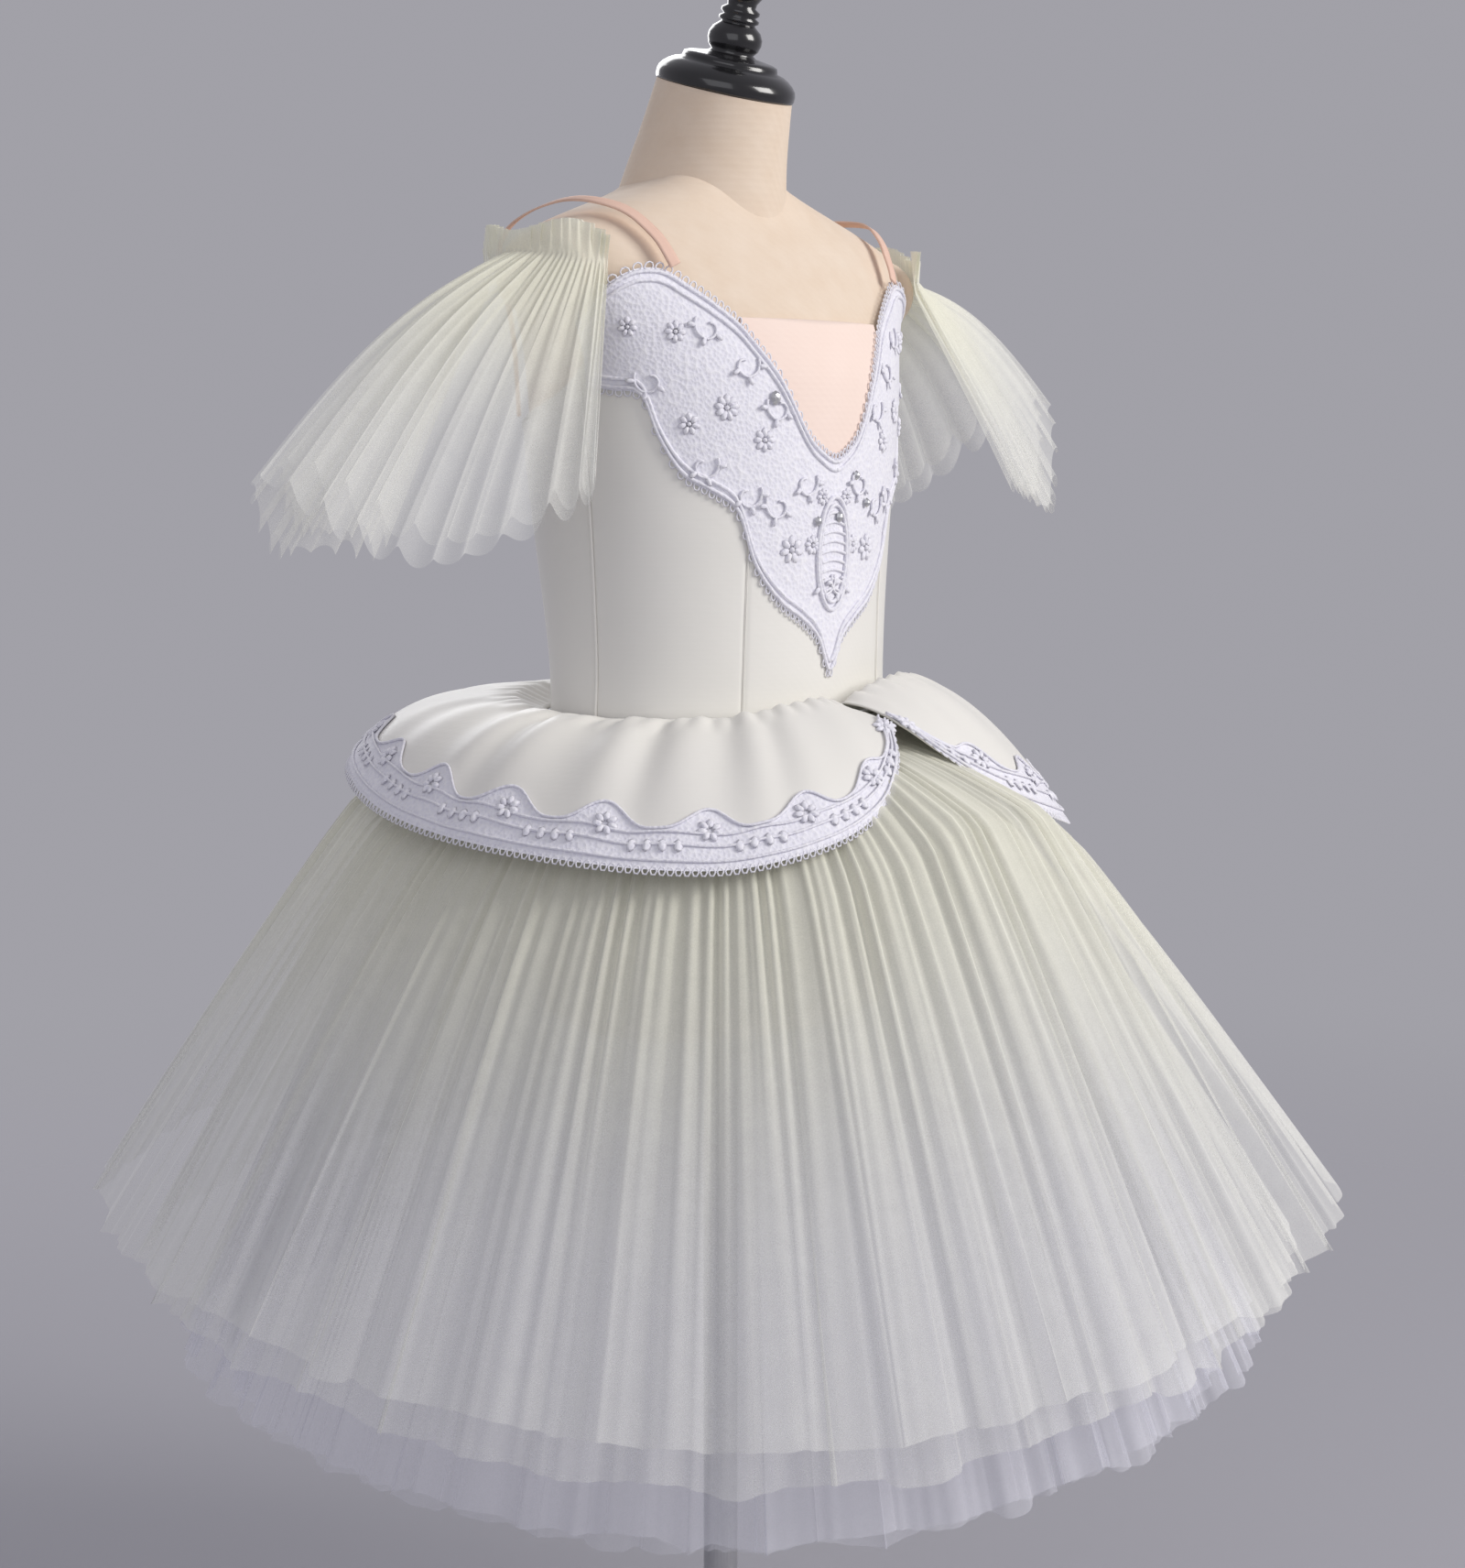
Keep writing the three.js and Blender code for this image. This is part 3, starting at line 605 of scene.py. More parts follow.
@dataclass
class Form(Piece):
    """The dress form: torso, neck, arm caps, turned cap, and its stand."""

    neck_rings: tuple[tuple[float, float, float, float, float], ...] = (
        (22, 252, 52, 55, 24), (12, 291, 46, 49, 21.6), (5, 320, 41.5, 43, 18), (-3, 348.7, 38.6, 38.6, 16))
    # radius and height along the cap's own axis
    cap_profile: tuple[tuple[float, float], ...] = (
        (0.01, 0), (39, 0), (39.5, 1), (39.6, 4), (39, 6.5), (37, 9), (34, 11.4), (31, 13), (27.4, 14),
        (27, 15.5), (26.5, 17), (24, 18), (21, 18.5), (14, 19.6), (12, 21), (14.2, 23.5), (15.3, 27),
        (15.2, 30), (13.5, 33.5), (10, 36.4), (9.5, 37.2), (11.3, 38.2), (11.4, 39.6), (9, 41), (10.9, 42.6),
        (10.9, 44.2), (8, 46), (8.4, 48.5), (10, 51), (13, 55), (16, 59), (18, 63), (18.5, 67), (18, 71),
        (16.5, 74), (13, 77), (9, 79), (4, 80.6), (0.01, 81))
    # centre out from the middle, centre behind the axis and above the waist, then half sizes
    arm_cap: tuple[tuple[float, float, float], tuple[float, float, float]] = ((139, 4, 241), (10, 32, 22))
    skin_inset: float = 0.2

    def torso(self) -> None:
        """Torso skin from hips to shoulders, closed at both ends."""
        low, high = FORM_SECTIONS[0][0], FORM_SECTIONS[-1][0]

        def place(u: float, v: float) -> Vector:
            """Point of the torso's skin."""
            z = low + (high - low) * v
            return polar(u * 360, body_radius(u * 360, z) - self.skin_inset, z)

        piece = sheet_object("form_skin", place, 120, 130, True)
        deselect()
        piece.select_set(True)
        bpy.context.view_layer.objects.active = piece
        bpy.ops.object.mode_set(mode="EDIT")
        bpy.ops.mesh.select_mode(type="EDGE")
        bpy.ops.mesh.select_all(action="DESELECT")
        bpy.ops.mesh.select_non_manifold()
        bpy.ops.mesh.edge_face_add()
        bpy.ops.object.mode_set(mode="OBJECT")
        self.flip_outward(piece)
        self.dress(piece, Finish.JERSEY, ("form_torso",))

    def neck(self) -> None:
        """Leaning neck from inside the shoulders up to the cap."""
        table = [(k, *ring) for k, ring in enumerate(self.neck_rings)]

        def place(u: float, v: float) -> Vector:
            """Point of the neck's skin."""
            y, z, across, deep, tilt = smooth_row(table, v * 3)
            lean, turn = math.radians(tilt), u * 2 * math.pi
            away = deep * math.sin(turn)
            return Vector((across * math.cos(turn) * MM, (y + away * math.cos(lean)) * MM,
                           WAIST + (z + away * math.sin(lean)) * MM))

        piece = sheet_object("neck_skin", place, 96, 40, True)
        self.face_away_from_axis(piece)
        self.dress(piece, Finish.JERSEY, ("form_neck",))

    def arm_caps(self) -> None:
        """Rounded ends where the arms stop."""
        (cx, cy, cz), (thick, deep, tall) = self.arm_cap
        for name, side in (("right", -1), ("left", 1)):
            deselect()
            bpy.ops.mesh.primitive_uv_sphere_add(segments=48, ring_count=24, radius=1)
            piece = bpy.context.object
            piece.name = f"arm_end_{name}"
            for vertex in piece.data.vertices:
                x, y, z = vertex.co
                vertex.co = Vector(((side * cx + x * thick) * MM, (cy + y * deep) * MM,
                                    WAIST + (cz + z * tall) * MM))
            bpy.ops.object.shade_smooth()
            self.dress(piece, Finish.JERSEY, (f"form_arm_cap_{name}",))

    def cap(self) -> None:
        """Turned cap and finial on the leaning neck."""
        lean = math.radians(self.neck_rings[-1][4])
        rows = len(self.cap_profile) - 1

        def place(u: float, v: float) -> Vector:
            """Point of the cap."""
            radius, height = self.cap_profile[round(v * rows)]
            x, y = radius * math.cos(u * 2 * math.pi), radius * math.sin(u * 2 * math.pi)
            return Vector((x * MM, (-3 + y * math.cos(lean) - height * math.sin(lean)) * MM,
                           WAIST + (349 + y * math.sin(lean) + height * math.cos(lean)) * MM))

        piece = sheet_object("turned_cap", place, 80, rows, True)
        self.flip_outward(piece)
        self.dress(piece, Finish.BLACK, ("form_cap_finial",))

    def build(self) -> None:
        """Make the form; the stand's own solids stay and get a brushed finish."""
        self.torso()
        self.neck()
        self.arm_caps()
        self.cap()
        for node in ("stand_collar", "stand_pole", "stand_base"):
            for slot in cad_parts[node].material_slots:
                slot.material = self.finishes[Finish.STEEL]


@dataclass
class Bodice(Piece):
    """Satin bodice with nude insert, raised lace, stones and straps."""

    side_seam: float = 86
    back_opening: float = 179.4
    insert_top: float = 218
    insert_side: float = 42
    dart_angle: float = 41
    dart_lean: float = 0.02
    dart_top: float = 107
    lace_reach: int = 84
    # angle, share up the lace, size
    rosettes: tuple[tuple[float, float, float], ...] = (
        (22, 0.30, 13), (34, 0.62, 11), (47, 0.50, 12), (58, 0.30, 10), (62, 0.72, 10), (12, 0.45, 9),
        (73, 0.55, 9), (7, 0.76, 8))
    # angle, share up the lace, which way it curls
    scrolls: tuple[tuple[float, float, float], ...] = (
        (16, 0.72, 1), (28, 0.85, -1), (40, 0.22, 1), (53, 0.85, -1), (28, 0.42, -1), (41, 0.82, 1),
        (54, 0.12, 1), (68, 0.25, -1), (5, 0.35, 1))
    # angle, share up the lace, size
    gems: tuple[tuple[float, float, float], ...] = (
        (30, 0.86, 6.5), (10, 0.60, 4.5), (-12, 0.82, 4.5), (-20, 0.55, 4.5), (-2, 0.72, 5))

    def top(self, angle: float) -> float:
        """Height of the top edge at an angle."""
        return smooth_row(BODICE_TOP, abs(angle))[0]

    def panel(self, name: str, start: float, end: float, columns: int, rows: int,
              low: Callable[[float], float], high: Callable[[float], float], out: float) -> bpy.types.Object:
        """Lay a panel on the body between two angles.

        Args:
            name: the piece's name.
            start: angle of its first edge.
            end: angle of its last edge.
            columns: spaces across.
            rows: spaces up.
            low: height of its low edge at an angle.
            high: height of its high edge at an angle.
            out: distance off the form.

        Returns:
            The panel.
        """
        def place(u: float, v: float) -> Vector:
            """Point of the panel, sunk along the dart seam."""
            angle = start + (end - start) * u
            height = low(angle) + (high(angle) - low(angle)) * v
            across = (abs(angle) - self.dart_angle + height * self.dart_lean) / 0.9
            dart = 0.7 * math.exp(-(across**2)) * (height < self.dart_top)
            return body_point(angle, height, out - dart)
        return sheet_object(name, place, columns, rows)

    def cloth(self) -> None:
        """Front, backs and insert."""
        front = self.panel("satin_front", self.side_seam, -self.side_seam, 230, 60, lambda a: 0.3, self.top,
                           SATIN_OUT)
        self.solidify(front, 1.4)
        self.dress(front, Finish.SATIN, ("bodice_front",))
        for name, side in (("right", 1), ("left", -1)):
            ends = (self.back_opening, self.side_seam + 0.25)
            if side < 0:
                ends = (-ends[1], -ends[0])
            back = self.panel(f"satin_back_{name}", *ends, 110, 40, lambda a: 0.3, self.top, SATIN_OUT)
            self.solidify(back, 1.4)
            self.dress(back, Finish.SATIN, (f"bodice_back_{name}",))
        insert = self.panel("mesh_insert", self.insert_side, -self.insert_side, 90, 24,
                            lambda a: self.top(a) + 0.5, lambda a: max(self.insert_top, self.top(a) + 1),
                            SATIN_OUT - 0.4)
        self.solidify(insert, 1.0)
        self.dress(insert, Finish.NUDE, ("neck_insert",))

    def piping(self) -> None:
        """Covered cord on each side seam, waist and top edge, and a fine stitched line at each dart."""
        heap = Heap([], [])
        for side in (1, -1):
            heap.cord([body_point(side * self.side_seam, 0.8 + z * 1.87, SATIN_OUT + 0.5)
                       for z in range(101)], 1.0)
            heap.cord([body_point(side * (self.dart_angle - z * self.dart_lean), z, SATIN_OUT + 0.1)
                       for z in range(1, int(self.dart_top), 2)], 0.35)
        heap.cord([body_point(a, self.top(a), SATIN_OUT - 0.4) for a in range(-179, 180, 2)], 1.1)
        heap.cord([body_point(a, 1.5, SATIN_OUT + 0.3) for a in range(0, 360, 3)], 1.1, closed=True)
        piece = heap.build("seam_piping")
        self.flip_outward(piece)
        self.dress(piece, Finish.SATIN)

    def edges(self, angle: float) -> tuple[float, float]:
        """Low and high edge of the lace at an angle."""
        low, high = smooth_row(LACE_EDGES, abs(angle))
        return low, high

    def lace(self) -> None:
        """Closed lace ground with raised cords, picots, rosettes and scrolls."""
        ground = self.panel("lace_ground", self.lace_reach, -self.lace_reach, 200, 36,
                            lambda a: self.edges(a)[0], lambda a: self.edges(a)[1], SATIN_OUT + 1.0)
        self.dress(ground, Finish.LACE, ("lace_applique",))
        heap = Heap([], [])
        lift = LACE_OUT + 0.2
        for side in (1, -1):
            angles = range(self.lace_reach + 1)
            for edge in (0, 1):
                for inset in (2.0, 6.5):
                    path = []
                    for a in angles:
                        height = self.edges(a)[edge] + (inset if edge == 0 else -inset)
                        path.append(body_point(side * a, height, lift))
                    heap.cord(path, 1.1)
                step = 2.2
                count = int(self.lace_reach / step)
                for k in range(count):
                    a = k * step + 1
                    centre = self.edges(a)[edge] + (-0.6 if edge == 0 else 0.6)
                    ring = [body_point(side * (a + 0.85 * math.cos(t * math.pi / 4)),
                                       centre + 2.2 * math.sin(t * math.pi / 4), lift - 0.3)
                            for t in range(8)]
                    heap.cord(ring, 0.5, 4, True)
            for k, (a, share, size) in enumerate(self.rosettes):
                self.rosette(heap, side * a, share, size, 7 + k % 3)
            for a, share, turn in self.scrolls:
                self.scroll(heap, side * a, share, 9, side * turn)
        for ring, radius in enumerate((1.0, 0.86)):
            heap.cord([body_point(9.0 * radius * math.sin(t * math.pi / 24),
                                  92 + 31 * radius * math.cos(t * math.pi / 24), lift + 0.4)
                       for t in range(48)], 1.3 - 0.3 * ring, 6, True)
        for k in range(9):
            height = 71 + k * 5.2
            reach = 7.2 * math.sqrt(max(0.05, 1 - ((height - 92) / 27) ** 2))
            heap.cord([body_point(reach * (s / 4 - 1), height + 2.0 * math.cos((s / 4 - 1) * 1.5), lift)
                       for s in range(9)], 0.9)
        piece = heap.build("lace_cords")
        self.flip_outward(piece)
        self.dress(piece, Finish.LACE)

    def spot(self, angle: float, share: float) -> tuple[Vector, Vector, Vector]:
        """Place, outward direction and upward direction at a spot of the lace."""
        low, high = self.edges(angle)
        z = low + (high - low) * share
        here = body_point(angle, z, LACE_OUT)
        out = (body_point(angle, z, LACE_OUT + 3) - here).normalized()
        up = (body_point(angle, z + 2, LACE_OUT) - here).normalized()
        return here, out, up

    def rosette(self, heap: Heap, angle: float, share: float, size: float, petals: int) -> None:
        """Small flower of raised petals."""
        here, out, up = self.spot(angle, share)
        side = out.cross(up).normalized()
        for k in range(petals):
            turn = 2 * math.pi * k / petals
            along = up * math.cos(turn) + side * math.sin(turn)
            heap.bead(here + along * size * 0.36 * MM, out, along, size * 0.52, size * 0.34, 1.5)
        heap.bead(here, out, up, size * 0.28, size * 0.28, 2.0)

    def scroll(self, heap: Heap, angle: float, share: float, size: float, turn: float) -> None:
        """Curled cord with leaves."""
        here, out, up = self.spot(angle, share)
        side = out.cross(up).normalized()
        path = []
        for k in range(22):
            t = k / 21
            reach = size * (0.25 + 0.75 * t) * MM
            path.append(here + up * math.cos(turn * t * 5.2) * reach + side * math.sin(turn * t * 5.2) * reach
                        + out * 0.6 * MM)
        heap.cord(path, 0.8, 5)
        for k in (9, 14, 19):
            along = (path[k] - here).normalized()
            heap.bead(path[k] + along * 2 * MM, out, along, 6, 3, 1.3)

    def stones(self) -> None:
        """Five faceted stones on the lace, in the bright metal finish."""
        heap = Heap([], [])
        for angle, share, size in self.gems:
            here, out, up = self.spot(angle, share)
            heap.bead(here + out * 1.2 * MM, out, up, size * 1.25, size, 2.2)
        piece = heap.build("lace_stones")
        self.flip_outward(piece)
        for face in piece.data.polygons:
            face.use_smooth = False
        self.dress(piece, Finish.STEEL)

    def straps(self) -> None:
        """Elastic strap over each shoulder, front neckline to back panel."""
        table = [(k, *row) for k, row in enumerate(STRAP_PATH)]
        last = len(table) - 1
        for name, side in (("right", 1), ("left", -1)):
            def place(u: float, v: float, side: int = side) -> Vector:
                """Point of the strap."""
                k = u * last
                angle, z = smooth_row(table, k)
                ahead = smooth_row(table, min(k + 0.05, last))
                behind = smooth_row(table, max(k - 0.05, 0))
                here = body_point(side * angle, z, SATIN_OUT + 3.5)
                out = (body_point(side * angle, z, SATIN_OUT + 6) - here).normalized()
                along = (body_point(side * ahead[0], ahead[1], SATIN_OUT)
                         - body_point(side * behind[0], behind[1], SATIN_OUT))
                return here + along.normalized().cross(out).normalized() * (v - 0.5) * 7 * MM
            strap = sheet_object(f"elastic_{name}", place, 60, 4)
            self.solidify(strap, 1.1)
            self.dress(strap, Finish.ELASTIC, (f"strap_{name}",))

    def build(self) -> None:
        """Make the bodice."""
        self.cloth()
        self.piping()
        self.lace()
        self.stones()
        self.straps()


@dataclass
class Peplum(Piece):
    """Two satin petals at the waist, each edged with lace."""

    folds: int = 13
    fold_depth: float = 2.6
    left_lift: float = 14
    peaks: int = 11

    def surface(self, side: int) -> Sheet:
        """Surface of a petal: u round the body, v from the waist to the edge."""
        rng = random.Random(11 + side)
        phases = [rng.uniform(0, 6.28) for _ in range(4)]

        def place(u: float, v: float) -> Vector:
            """Point of the petal."""
            angle = 1.4 + 177.2 * u
            reach, edge, rise, bend = smooth_row(PETAL_ROWS, angle)
            lift = self.left_lift * math.exp(-(((angle - 38) / 26) ** 2)) if side < 0 else 0
            start = body_radius(angle, 0) + SATIN_OUT + 2.5
            radius = start + (reach - start) * v
            risen = rise + lift
            wander = 0.7 * math.sin(u * 17 + phases[0]) + 0.5 * math.sin(u * 41 + phases[1])
            fold = (self.fold_depth * max(0.0, math.sin(math.pi * v)) ** 0.7
                    * math.cos(u * self.folds * 2 * math.pi + wander)
                    * (0.6 + 0.4 * math.sin(u * 9 + phases[2])))
            puck = 0.8 * math.sin(min(1, v * 3) * math.pi) * math.cos(u * 190 + phases[3])
            z = 3 + (risen - 3) * min(1, v * 6) - (risen - edge) * max(0, v) ** bend + fold + puck
            return polar(side * angle, radius, z)
        return place

    def trim(self, side: int, name: str) -> None:
        """Lace edging with picots and flower peaks laid on a petal."""
        place = self.surface(side)

        def on(u: float, v: float, lift: float) -> Vector:
            """Point standing off the petal's upper side."""
            e = 0.004
            a = place(u + e, v) - place(u - e, v)
            b = place(u, v + e) - place(u, v - e)
            out = a.cross(b).normalized()
            if out.z < 0:
                out.negate()
            return place(u, v) + out * lift * MM

        def band(u: float, v: float) -> Vector:
            """Point of the edging, which rises to a flower peak at even steps."""
            peak = abs(math.cos(u * self.peaks * math.pi)) ** 3 * 0.09
            return on(u, 0.87 - peak + (0.145 + peak) * v, 1.6)

        strip = sheet_object(f"petal_lace_{name}", band, 330, 12)
        if side > 0:
            strip.data.flip_normals()
        self.dress(strip, Finish.LACE, (f"peplum_lace_{name}",))
        heap = Heap([], [])
        for v in (0.885, 0.93, 0.985):
            heap.cord([on(k / 260, v, 2.4) for k in range(261)], 0.8, 5)
        heap.cord([on(k / 260, 0.872 - abs(math.cos(k / 260 * self.peaks * math.pi)) ** 3 * 0.088, 2.4)
                   for k in range(261)], 0.8, 5)
        for k in range(150):
            u = (k + 0.5) / 150
            heap.cord([on(u + 0.0026 * math.cos(t * math.pi / 3),
                          1.018 + 0.014 * math.sin(t * math.pi / 3), 1.4) for t in range(6)], 0.5, 4, True)
        for k in range(self.peaks):
            u = min(0.985, max(0.015, k / self.peaks))
            here = on(u, 0.87, 2.3)
            out = (on(u, 0.87, 4) - here).normalized()
            up = (on(u, 0.84, 2.3) - here).normalized()
            across = out.cross(up).normalized()
            for petal in range(7):
                turn = 2 * math.pi * petal / 7
                along = up * math.cos(turn) + across * math.sin(turn)
                heap.bead(here + along * 4.2 * MM, out, along, 6.2, 4, 1.4)
            for step in (-3, -2, 2, 3):
                w = min(0.99, max(0.01, u + step * 0.013))
                spot = on(w, 0.935, 2.3)
                heap.bead(spot, out, up, 8, 5, 1.2)
        piece = heap.build(f"petal_cords_{name}")
        self.flip_outward(piece)
        self.dress(piece, Finish.LACE)

    def build(self) -> None:
        """Make both petals and their edging."""
        for name, side in (("right", 1), ("left", -1)):
            petal = sheet_object(f"petal_{name}", self.surface(side), 300, 36)
            if side > 0:
                petal.data.flip_normals()
            self.solidify(petal, 1.2)
            self.dress(petal, Finish.SATIN, (f"peplum_petal_{name}",))
            self.trim(side, name)


@dataclass
class Skirt(Piece):
    """Four gathered tulle layers on a satin basque."""

    # node, height of the seam, knee out and up, hem out and up, how much lower it hangs in front
    layers: tuple[tuple[str, float, float, float, float, float, float], ...] = (
        ("skirt_layer_outer", -7, 203, -44, 354, -268, 50),
        ("skirt_layer_second", -15, 190, -58, 331, -303, 40),
        ("skirt_layer_third", -23, 176, -72, 309, -352, 26),
        ("skirt_layer_inner", -31, 162, -86, 288, -364, 26))
    # width and length of each layer's cut, in metres
    cuts: tuple[tuple[float, float], ...] = ((2.4, 0.38), (2.25, 0.385), (2.1, 0.395), (1.97, 0.39))
    knee_share: float = 0.26
    knee_bend: float = 1.6
    hem_curve: float = 0.93
    petal_clearance: float = 20
    dip_angle: float = 45
    dip_spread: float = 45
    basque_bottom: float = -40
    columns: int = 900
    rows: int = 44

    def surface(self, index: int) -> Sheet:
        """Surface of a layer, with uneven folds that grow from fine gathers to deep flutes."""
        _, top, knee_out, knee_z, hem_out, hem_z, dip = self.layers[index]
        rng = random.Random(40 + index)
        widths = [rng.uniform(0.55, 1.6) for _ in range(46 + 4 * index)]
        depths = [rng.uniform(0.45, 1.0) for _ in widths]
        leans = [rng.uniform(-0.8, 0.8) for _ in widths]
        hems = [rng.uniform(-5, 5) for _ in widths]
        total, marks, run = sum(widths), [], 0.0
        for width in widths:
            marks.append(run / total)
            run += width
        marks.append(1.0)
        fine = [(rng.randint(120, 260), rng.uniform(0, 6.28)) for _ in range(3)]
        outer_knee = self.layers[0][3]

        def place(u: float, v: float) -> Vector:
            """Point of the layer."""
            lane = next((k for k in range(len(widths)) if u < marks[k + 1]), len(widths) - 1)
            t = (u - marks[lane]) / (marks[lane + 1] - marks[lane])
            wide = (marks[lane + 1] - marks[lane]) * 360
            envelope = math.sin(math.pi * t)
            grow = max(0, v - 0.04) ** 0.75
            lean = leans[lane] * envelope * math.sin(2 * math.pi * t) * wide * 0.30 * grow
            turn = u * 360 + lean
            fold = depths[lane] * (0.5 - 0.5 * math.cos(2 * math.pi * t)) * 9.5 * grow - 4 * grow
            tiny = sum(math.sin(n * u * 6.28319 + p) for n, p in fine)
            tiny = tiny * (0.5 + 1.1 * (1 - v)) * min(1, v * 8)
            from_front = abs((turn + 540) % 360 - 180)
            edge = smooth_row(PETAL_ROWS, from_front)[1]
            knee = knee_z + min(0, edge - self.petal_clearance - outer_knee)
            off = (turn - self.dip_angle + 540) % 360 - 180
            hem = hem_z - dip * math.exp(-((off / self.dip_spread) ** 2)) + hems[lane] * envelope
            start = body_radius(turn, top) + SATIN_OUT + 1.8
            if v < self.knee_share:
                share = v / self.knee_share
                radius = start + (knee_out - start) * share
                z = top + (knee - top) * share ** self.knee_bend
            else:
                share = (v - self.knee_share) / (1 - self.knee_share)
                radius = knee_out + (hem_out - knee_out) * share ** self.hem_curve
                z = knee + (hem - knee) * share
            return polar(turn, radius + fold + tiny, z)
        return place

    def build(self) -> None:
        """Make the layers and the basque."""
        for index, layer in enumerate(self.layers):
            finish = Finish.YELLOW if index < 2 else Finish.WHITE
            piece = sheet_object(f"tulle_{index + 1}", self.surface(index), self.columns, self.rows, True)
            self.face_away_from_axis(piece)
            self.dress(piece, finish, (layer[0],))
        band = sheet_object("hip_band", lambda u, v: body_point(u * 360, self.basque_bottom + 39.5 * v,
                                                                SATIN_OUT), 120, 8, True)
        self.solidify(band, 1.4)
        self.dress(band, Finish.SATIN, ("basque",))


@dataclass
class Sleeves(Piece):
    """Two layers of gathered tulle on each shoulder."""

    folds: int = 20
    header: float = 0.12
    full_length: float = 180
    left_lift: float = 50

    def surface(self, side: int, length: float, gather_inset: float, hem_inset: float, seed: int) -> Sheet:
        """Surface of one ruffle layer: u from back to front, w from header to hem.

        Args:
            side: -1 for the wearer's right, 1 for the left.
            length: share of the full length.
            gather_inset: how far in the gathers sit.
            hem_inset: how far down the hem sits.
            seed: seed of its folds.

        Returns:
            The surface.
        """
        rng = random.Random(seed)
        p = [rng.uniform(0, 6.28) for _ in range(5)]

        def place(u: float, w: float) -> Vector:
            """Point of the ruffle."""
            v = -self.header + (1 + self.header) * w
            gx, gy, gz, hx, hy, hz = smooth_row(SLEEVE_ROWS, u)
            middle = math.sin(math.pi * u)
            lift = self.left_lift * middle**2 if side > 0 else 0
            reach = v * length
            warp = (u * self.folds * 2 * math.pi + 1.1 * math.sin(u * 13 + p[0])
                    + 0.6 * math.sin(u * 37 + p[1]))
            wave = math.cos(warp) * (0.6 + 0.4 * math.sin(u * 21 + p[2]))
            gather = Vector((gx - gather_inset, gy, gz - gather_inset))
            hem = Vector((hx, hy, hz + lift))
            if v < 0:
                point = gather.copy()
                point.z = gz - v * self.full_length * (0.75 + 0.2 * math.sin(u * 11 + p[3]))
                point.y += 3.0 * wave * -v * 8
            else:
                point = gather.lerp(hem, reach)
                bow = 16 * math.sin(math.pi * min(1, reach)) * middle
                point.z += bow + wave * 7.5 * v**0.8 - hem_inset * v
                point.y += 2.5 * math.sin(warp) * v
                point.z += 1.2 * math.cos(u * 260 + p[4]) * (1 - v)
            return Vector((side * point.x * MM, point.y * MM, WAIST + point.z * MM))
        return place

    def build(self) -> None:
        """Make both sleeves."""
        for name, side in (("right", -1), ("left", 1)):
            for layer, length, gap, hem_gap in (("upper", 1.0, 0, 0), ("under", 0.9, 3, 8)):
                piece = sheet_object(f"ruffle_{name}_{layer}",
                                     self.surface(side, length, gap, hem_gap, 5 + side + len(layer)), 420, 40)
                self.dress(piece, Finish.YELLOW, (f"sleeve_{name}_{layer}",))


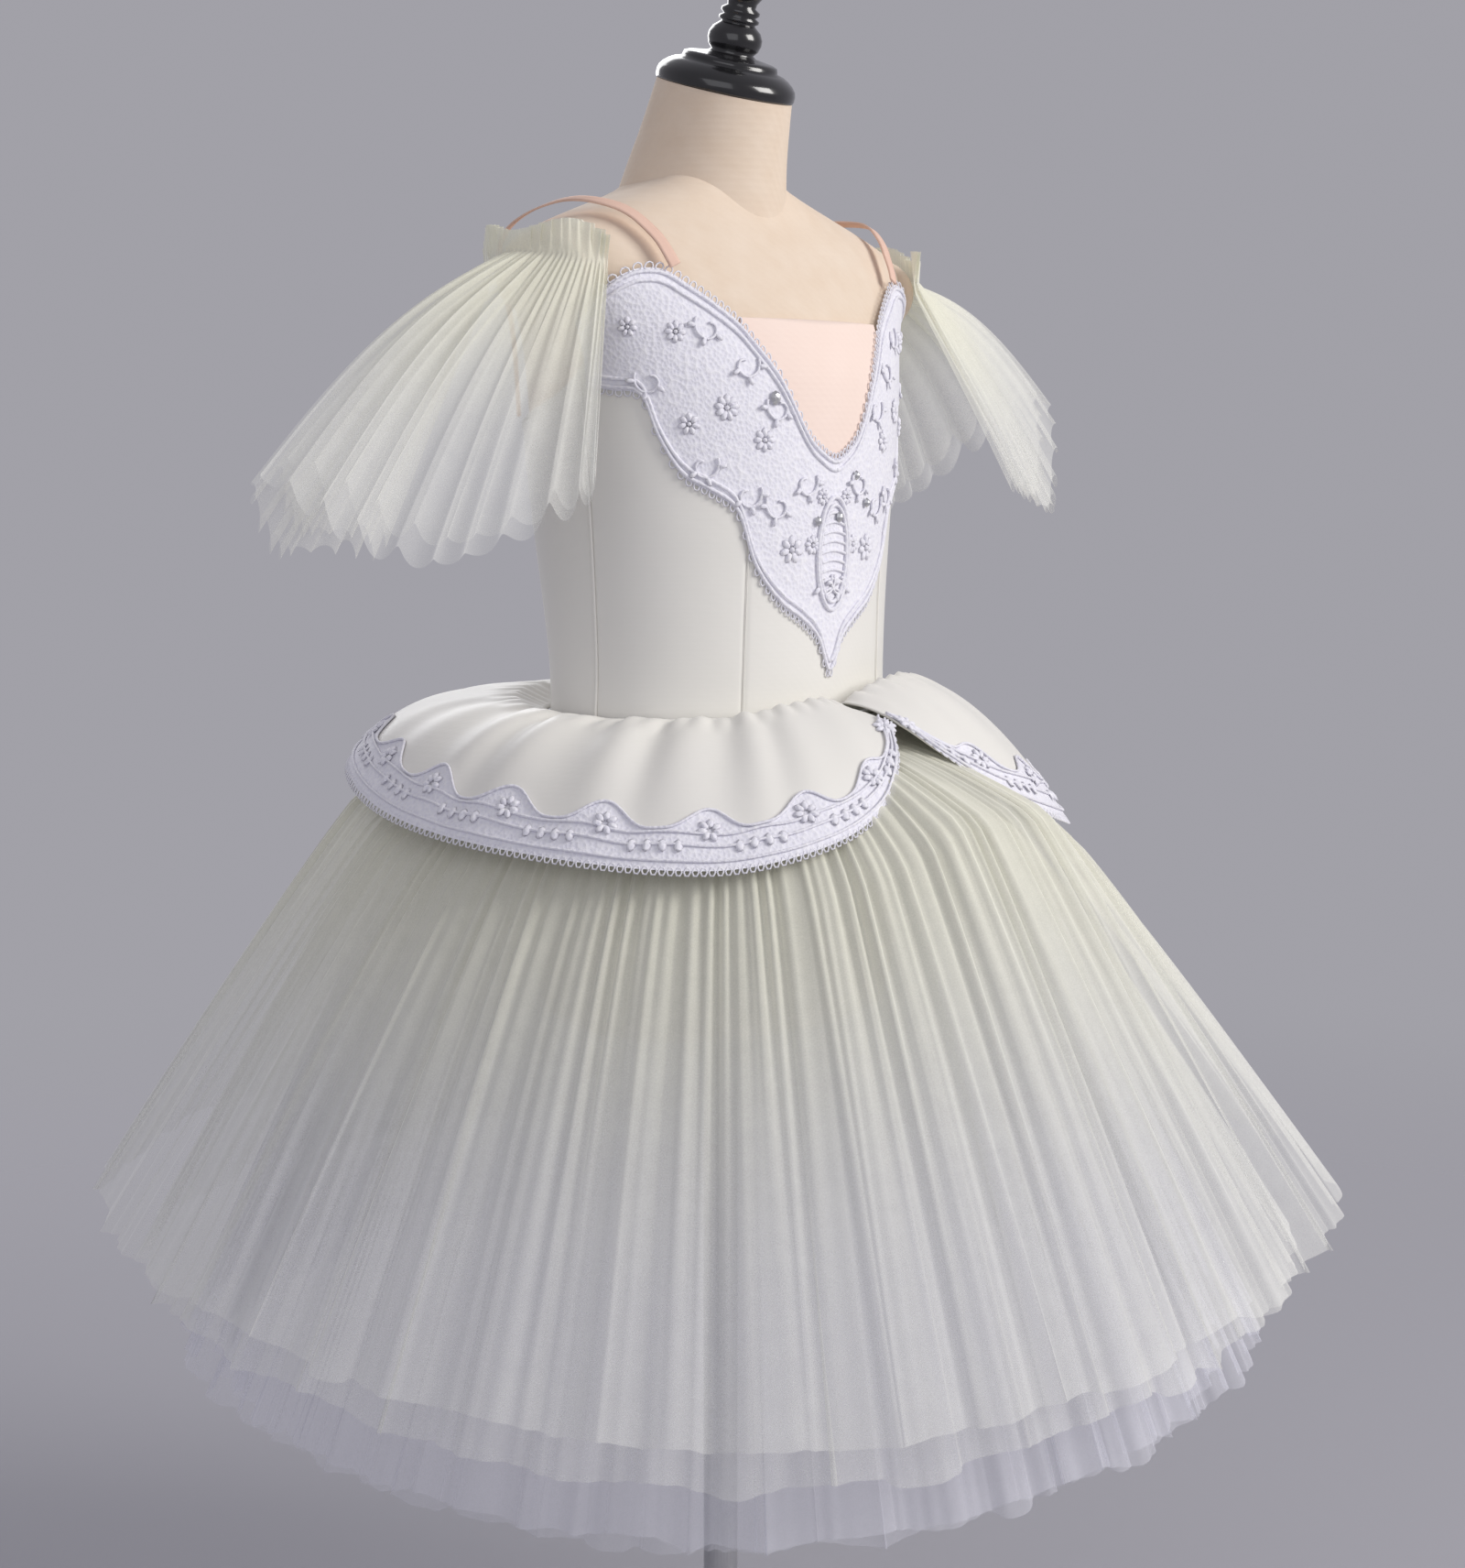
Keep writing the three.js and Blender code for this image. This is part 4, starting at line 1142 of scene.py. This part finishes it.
@dataclass
class Studio:
    """Plain pale floor, even background, soft lights and the camera."""

    distance: float = 1.650
    azimuth: float = -48
    height: float = 0.140
    pitch: float = 6.3
    lens: float = 44.16
    sensor: float = 24
    shift: float = 0.0075935
    floor_drop: float = 0.0005
    fade_reach: tuple[float, float] = (0.5, 2.6)
    grey: tuple[float, float, float, float] = (0.36, 0.355, 0.39, 1)

    def light(self, name: str, place: tuple[float, float, float], size: float, power: float,
              colour: tuple[float, float, float]) -> None:
        """Soft area light aimed at the waist."""
        data = bpy.data.lights.new(name, "AREA")
        data.size, data.energy, data.color = size, power, colour
        lamp = bpy.data.objects.new(name, data)
        lamp.location = place
        lamp.rotation_euler = (Vector((0, 0, 0.62)) - Vector(place)).to_track_quat("-Z", "Y").to_euler()
        bpy.context.scene.collection.objects.link(lamp)

    def floor(self) -> None:
        """Round floor that fades out to the background with distance."""
        deselect()
        bpy.ops.mesh.primitive_circle_add(vertices=96, radius=9, fill_type="NGON",
                                          location=(0, 0, -self.floor_drop))
        floor = bpy.context.object
        floor.name = "floor"
        paper = bpy.data.materials.new("floor_paper")
        paper.use_nodes = True
        tree = paper.node_tree
        surface = tree.nodes["Principled BSDF"]
        surface.inputs["Base Color"].default_value = self.grey
        surface.inputs["Roughness"].default_value = 0.95
        coords = tree.nodes.new("ShaderNodeTexCoord")
        length = tree.nodes.new("ShaderNodeVectorMath")
        length.operation = "LENGTH"
        fade = tree.nodes.new("ShaderNodeMapRange")
        fade.interpolation_type = "SMOOTHSTEP"
        for slot, value in zip((1, 2, 3, 4), (*self.fade_reach, 1.0, 0.0)):
            fade.inputs[slot].default_value = value
        tree.links.new(coords.outputs["Object"], length.inputs[0])
        tree.links.new(length.outputs["Value"], fade.inputs[0])
        tree.links.new(fade.outputs[0], surface.inputs["Alpha"])
        floor.data.materials.append(paper)
        floor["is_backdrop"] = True

    def background(self) -> None:
        """Even grey all round."""
        world = bpy.context.scene.world or bpy.data.worlds.new("studio")
        bpy.context.scene.world = world
        world.use_nodes = True
        nodes = world.node_tree.nodes
        shade = nodes.get("Background") or nodes.new("ShaderNodeBackground")
        shade.inputs["Color"].default_value = self.grey
        shade.inputs["Strength"].default_value = 1.0

    def camera(self) -> None:
        """Camera level with the bodice, pitched down a little."""
        data = bpy.data.cameras.new("camera")
        data.sensor_fit, data.sensor_height = "VERTICAL", self.sensor
        data.lens = self.lens
        data.shift_x = self.shift
        camera = bpy.data.objects.new("camera", data)
        turn = math.radians(self.azimuth)
        camera.location = (self.distance * math.sin(turn), -self.distance * math.cos(turn),
                           WAIST + self.height)
        camera.rotation_euler = (math.radians(90 - self.pitch), 0, turn)
        bpy.context.scene.collection.objects.link(camera)
        bpy.context.scene.camera = camera

    def build(self) -> None:
        """Make the floor, background, lights and camera."""
        self.floor()
        self.background()
        self.light("key", (1.1, -2.4, 1.9), 1.4, 62, (1.0, 0.98, 0.95))
        self.light("fill", (-2.4, -1.6, 1.6), 2.4, 16, (0.95, 0.96, 1.0))
        self.light("rim", (1.2, 2.0, 1.8), 1.6, 22, (1.0, 1.0, 1.0))
        self.camera()
        bpy.context.scene.view_settings.view_transform = "Standard"


def main() -> None:
    """Build the studio, the form and the tutu in order."""
    logging.basicConfig(level=logging.INFO, format="%(name)s %(message)s")
    finishes = Wardrobe().make()
    Studio().build()
    Form(finishes).build()
    Bodice(finishes).build()
    Peplum(finishes).build()
    Skirt(finishes).build()
    Sleeves(finishes).build()
    for name, box in (("cad", CAD_BOX), ("visual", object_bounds())):
        LOG.info("%s box %s", name, box)


if __name__ == "__main__":
    main()
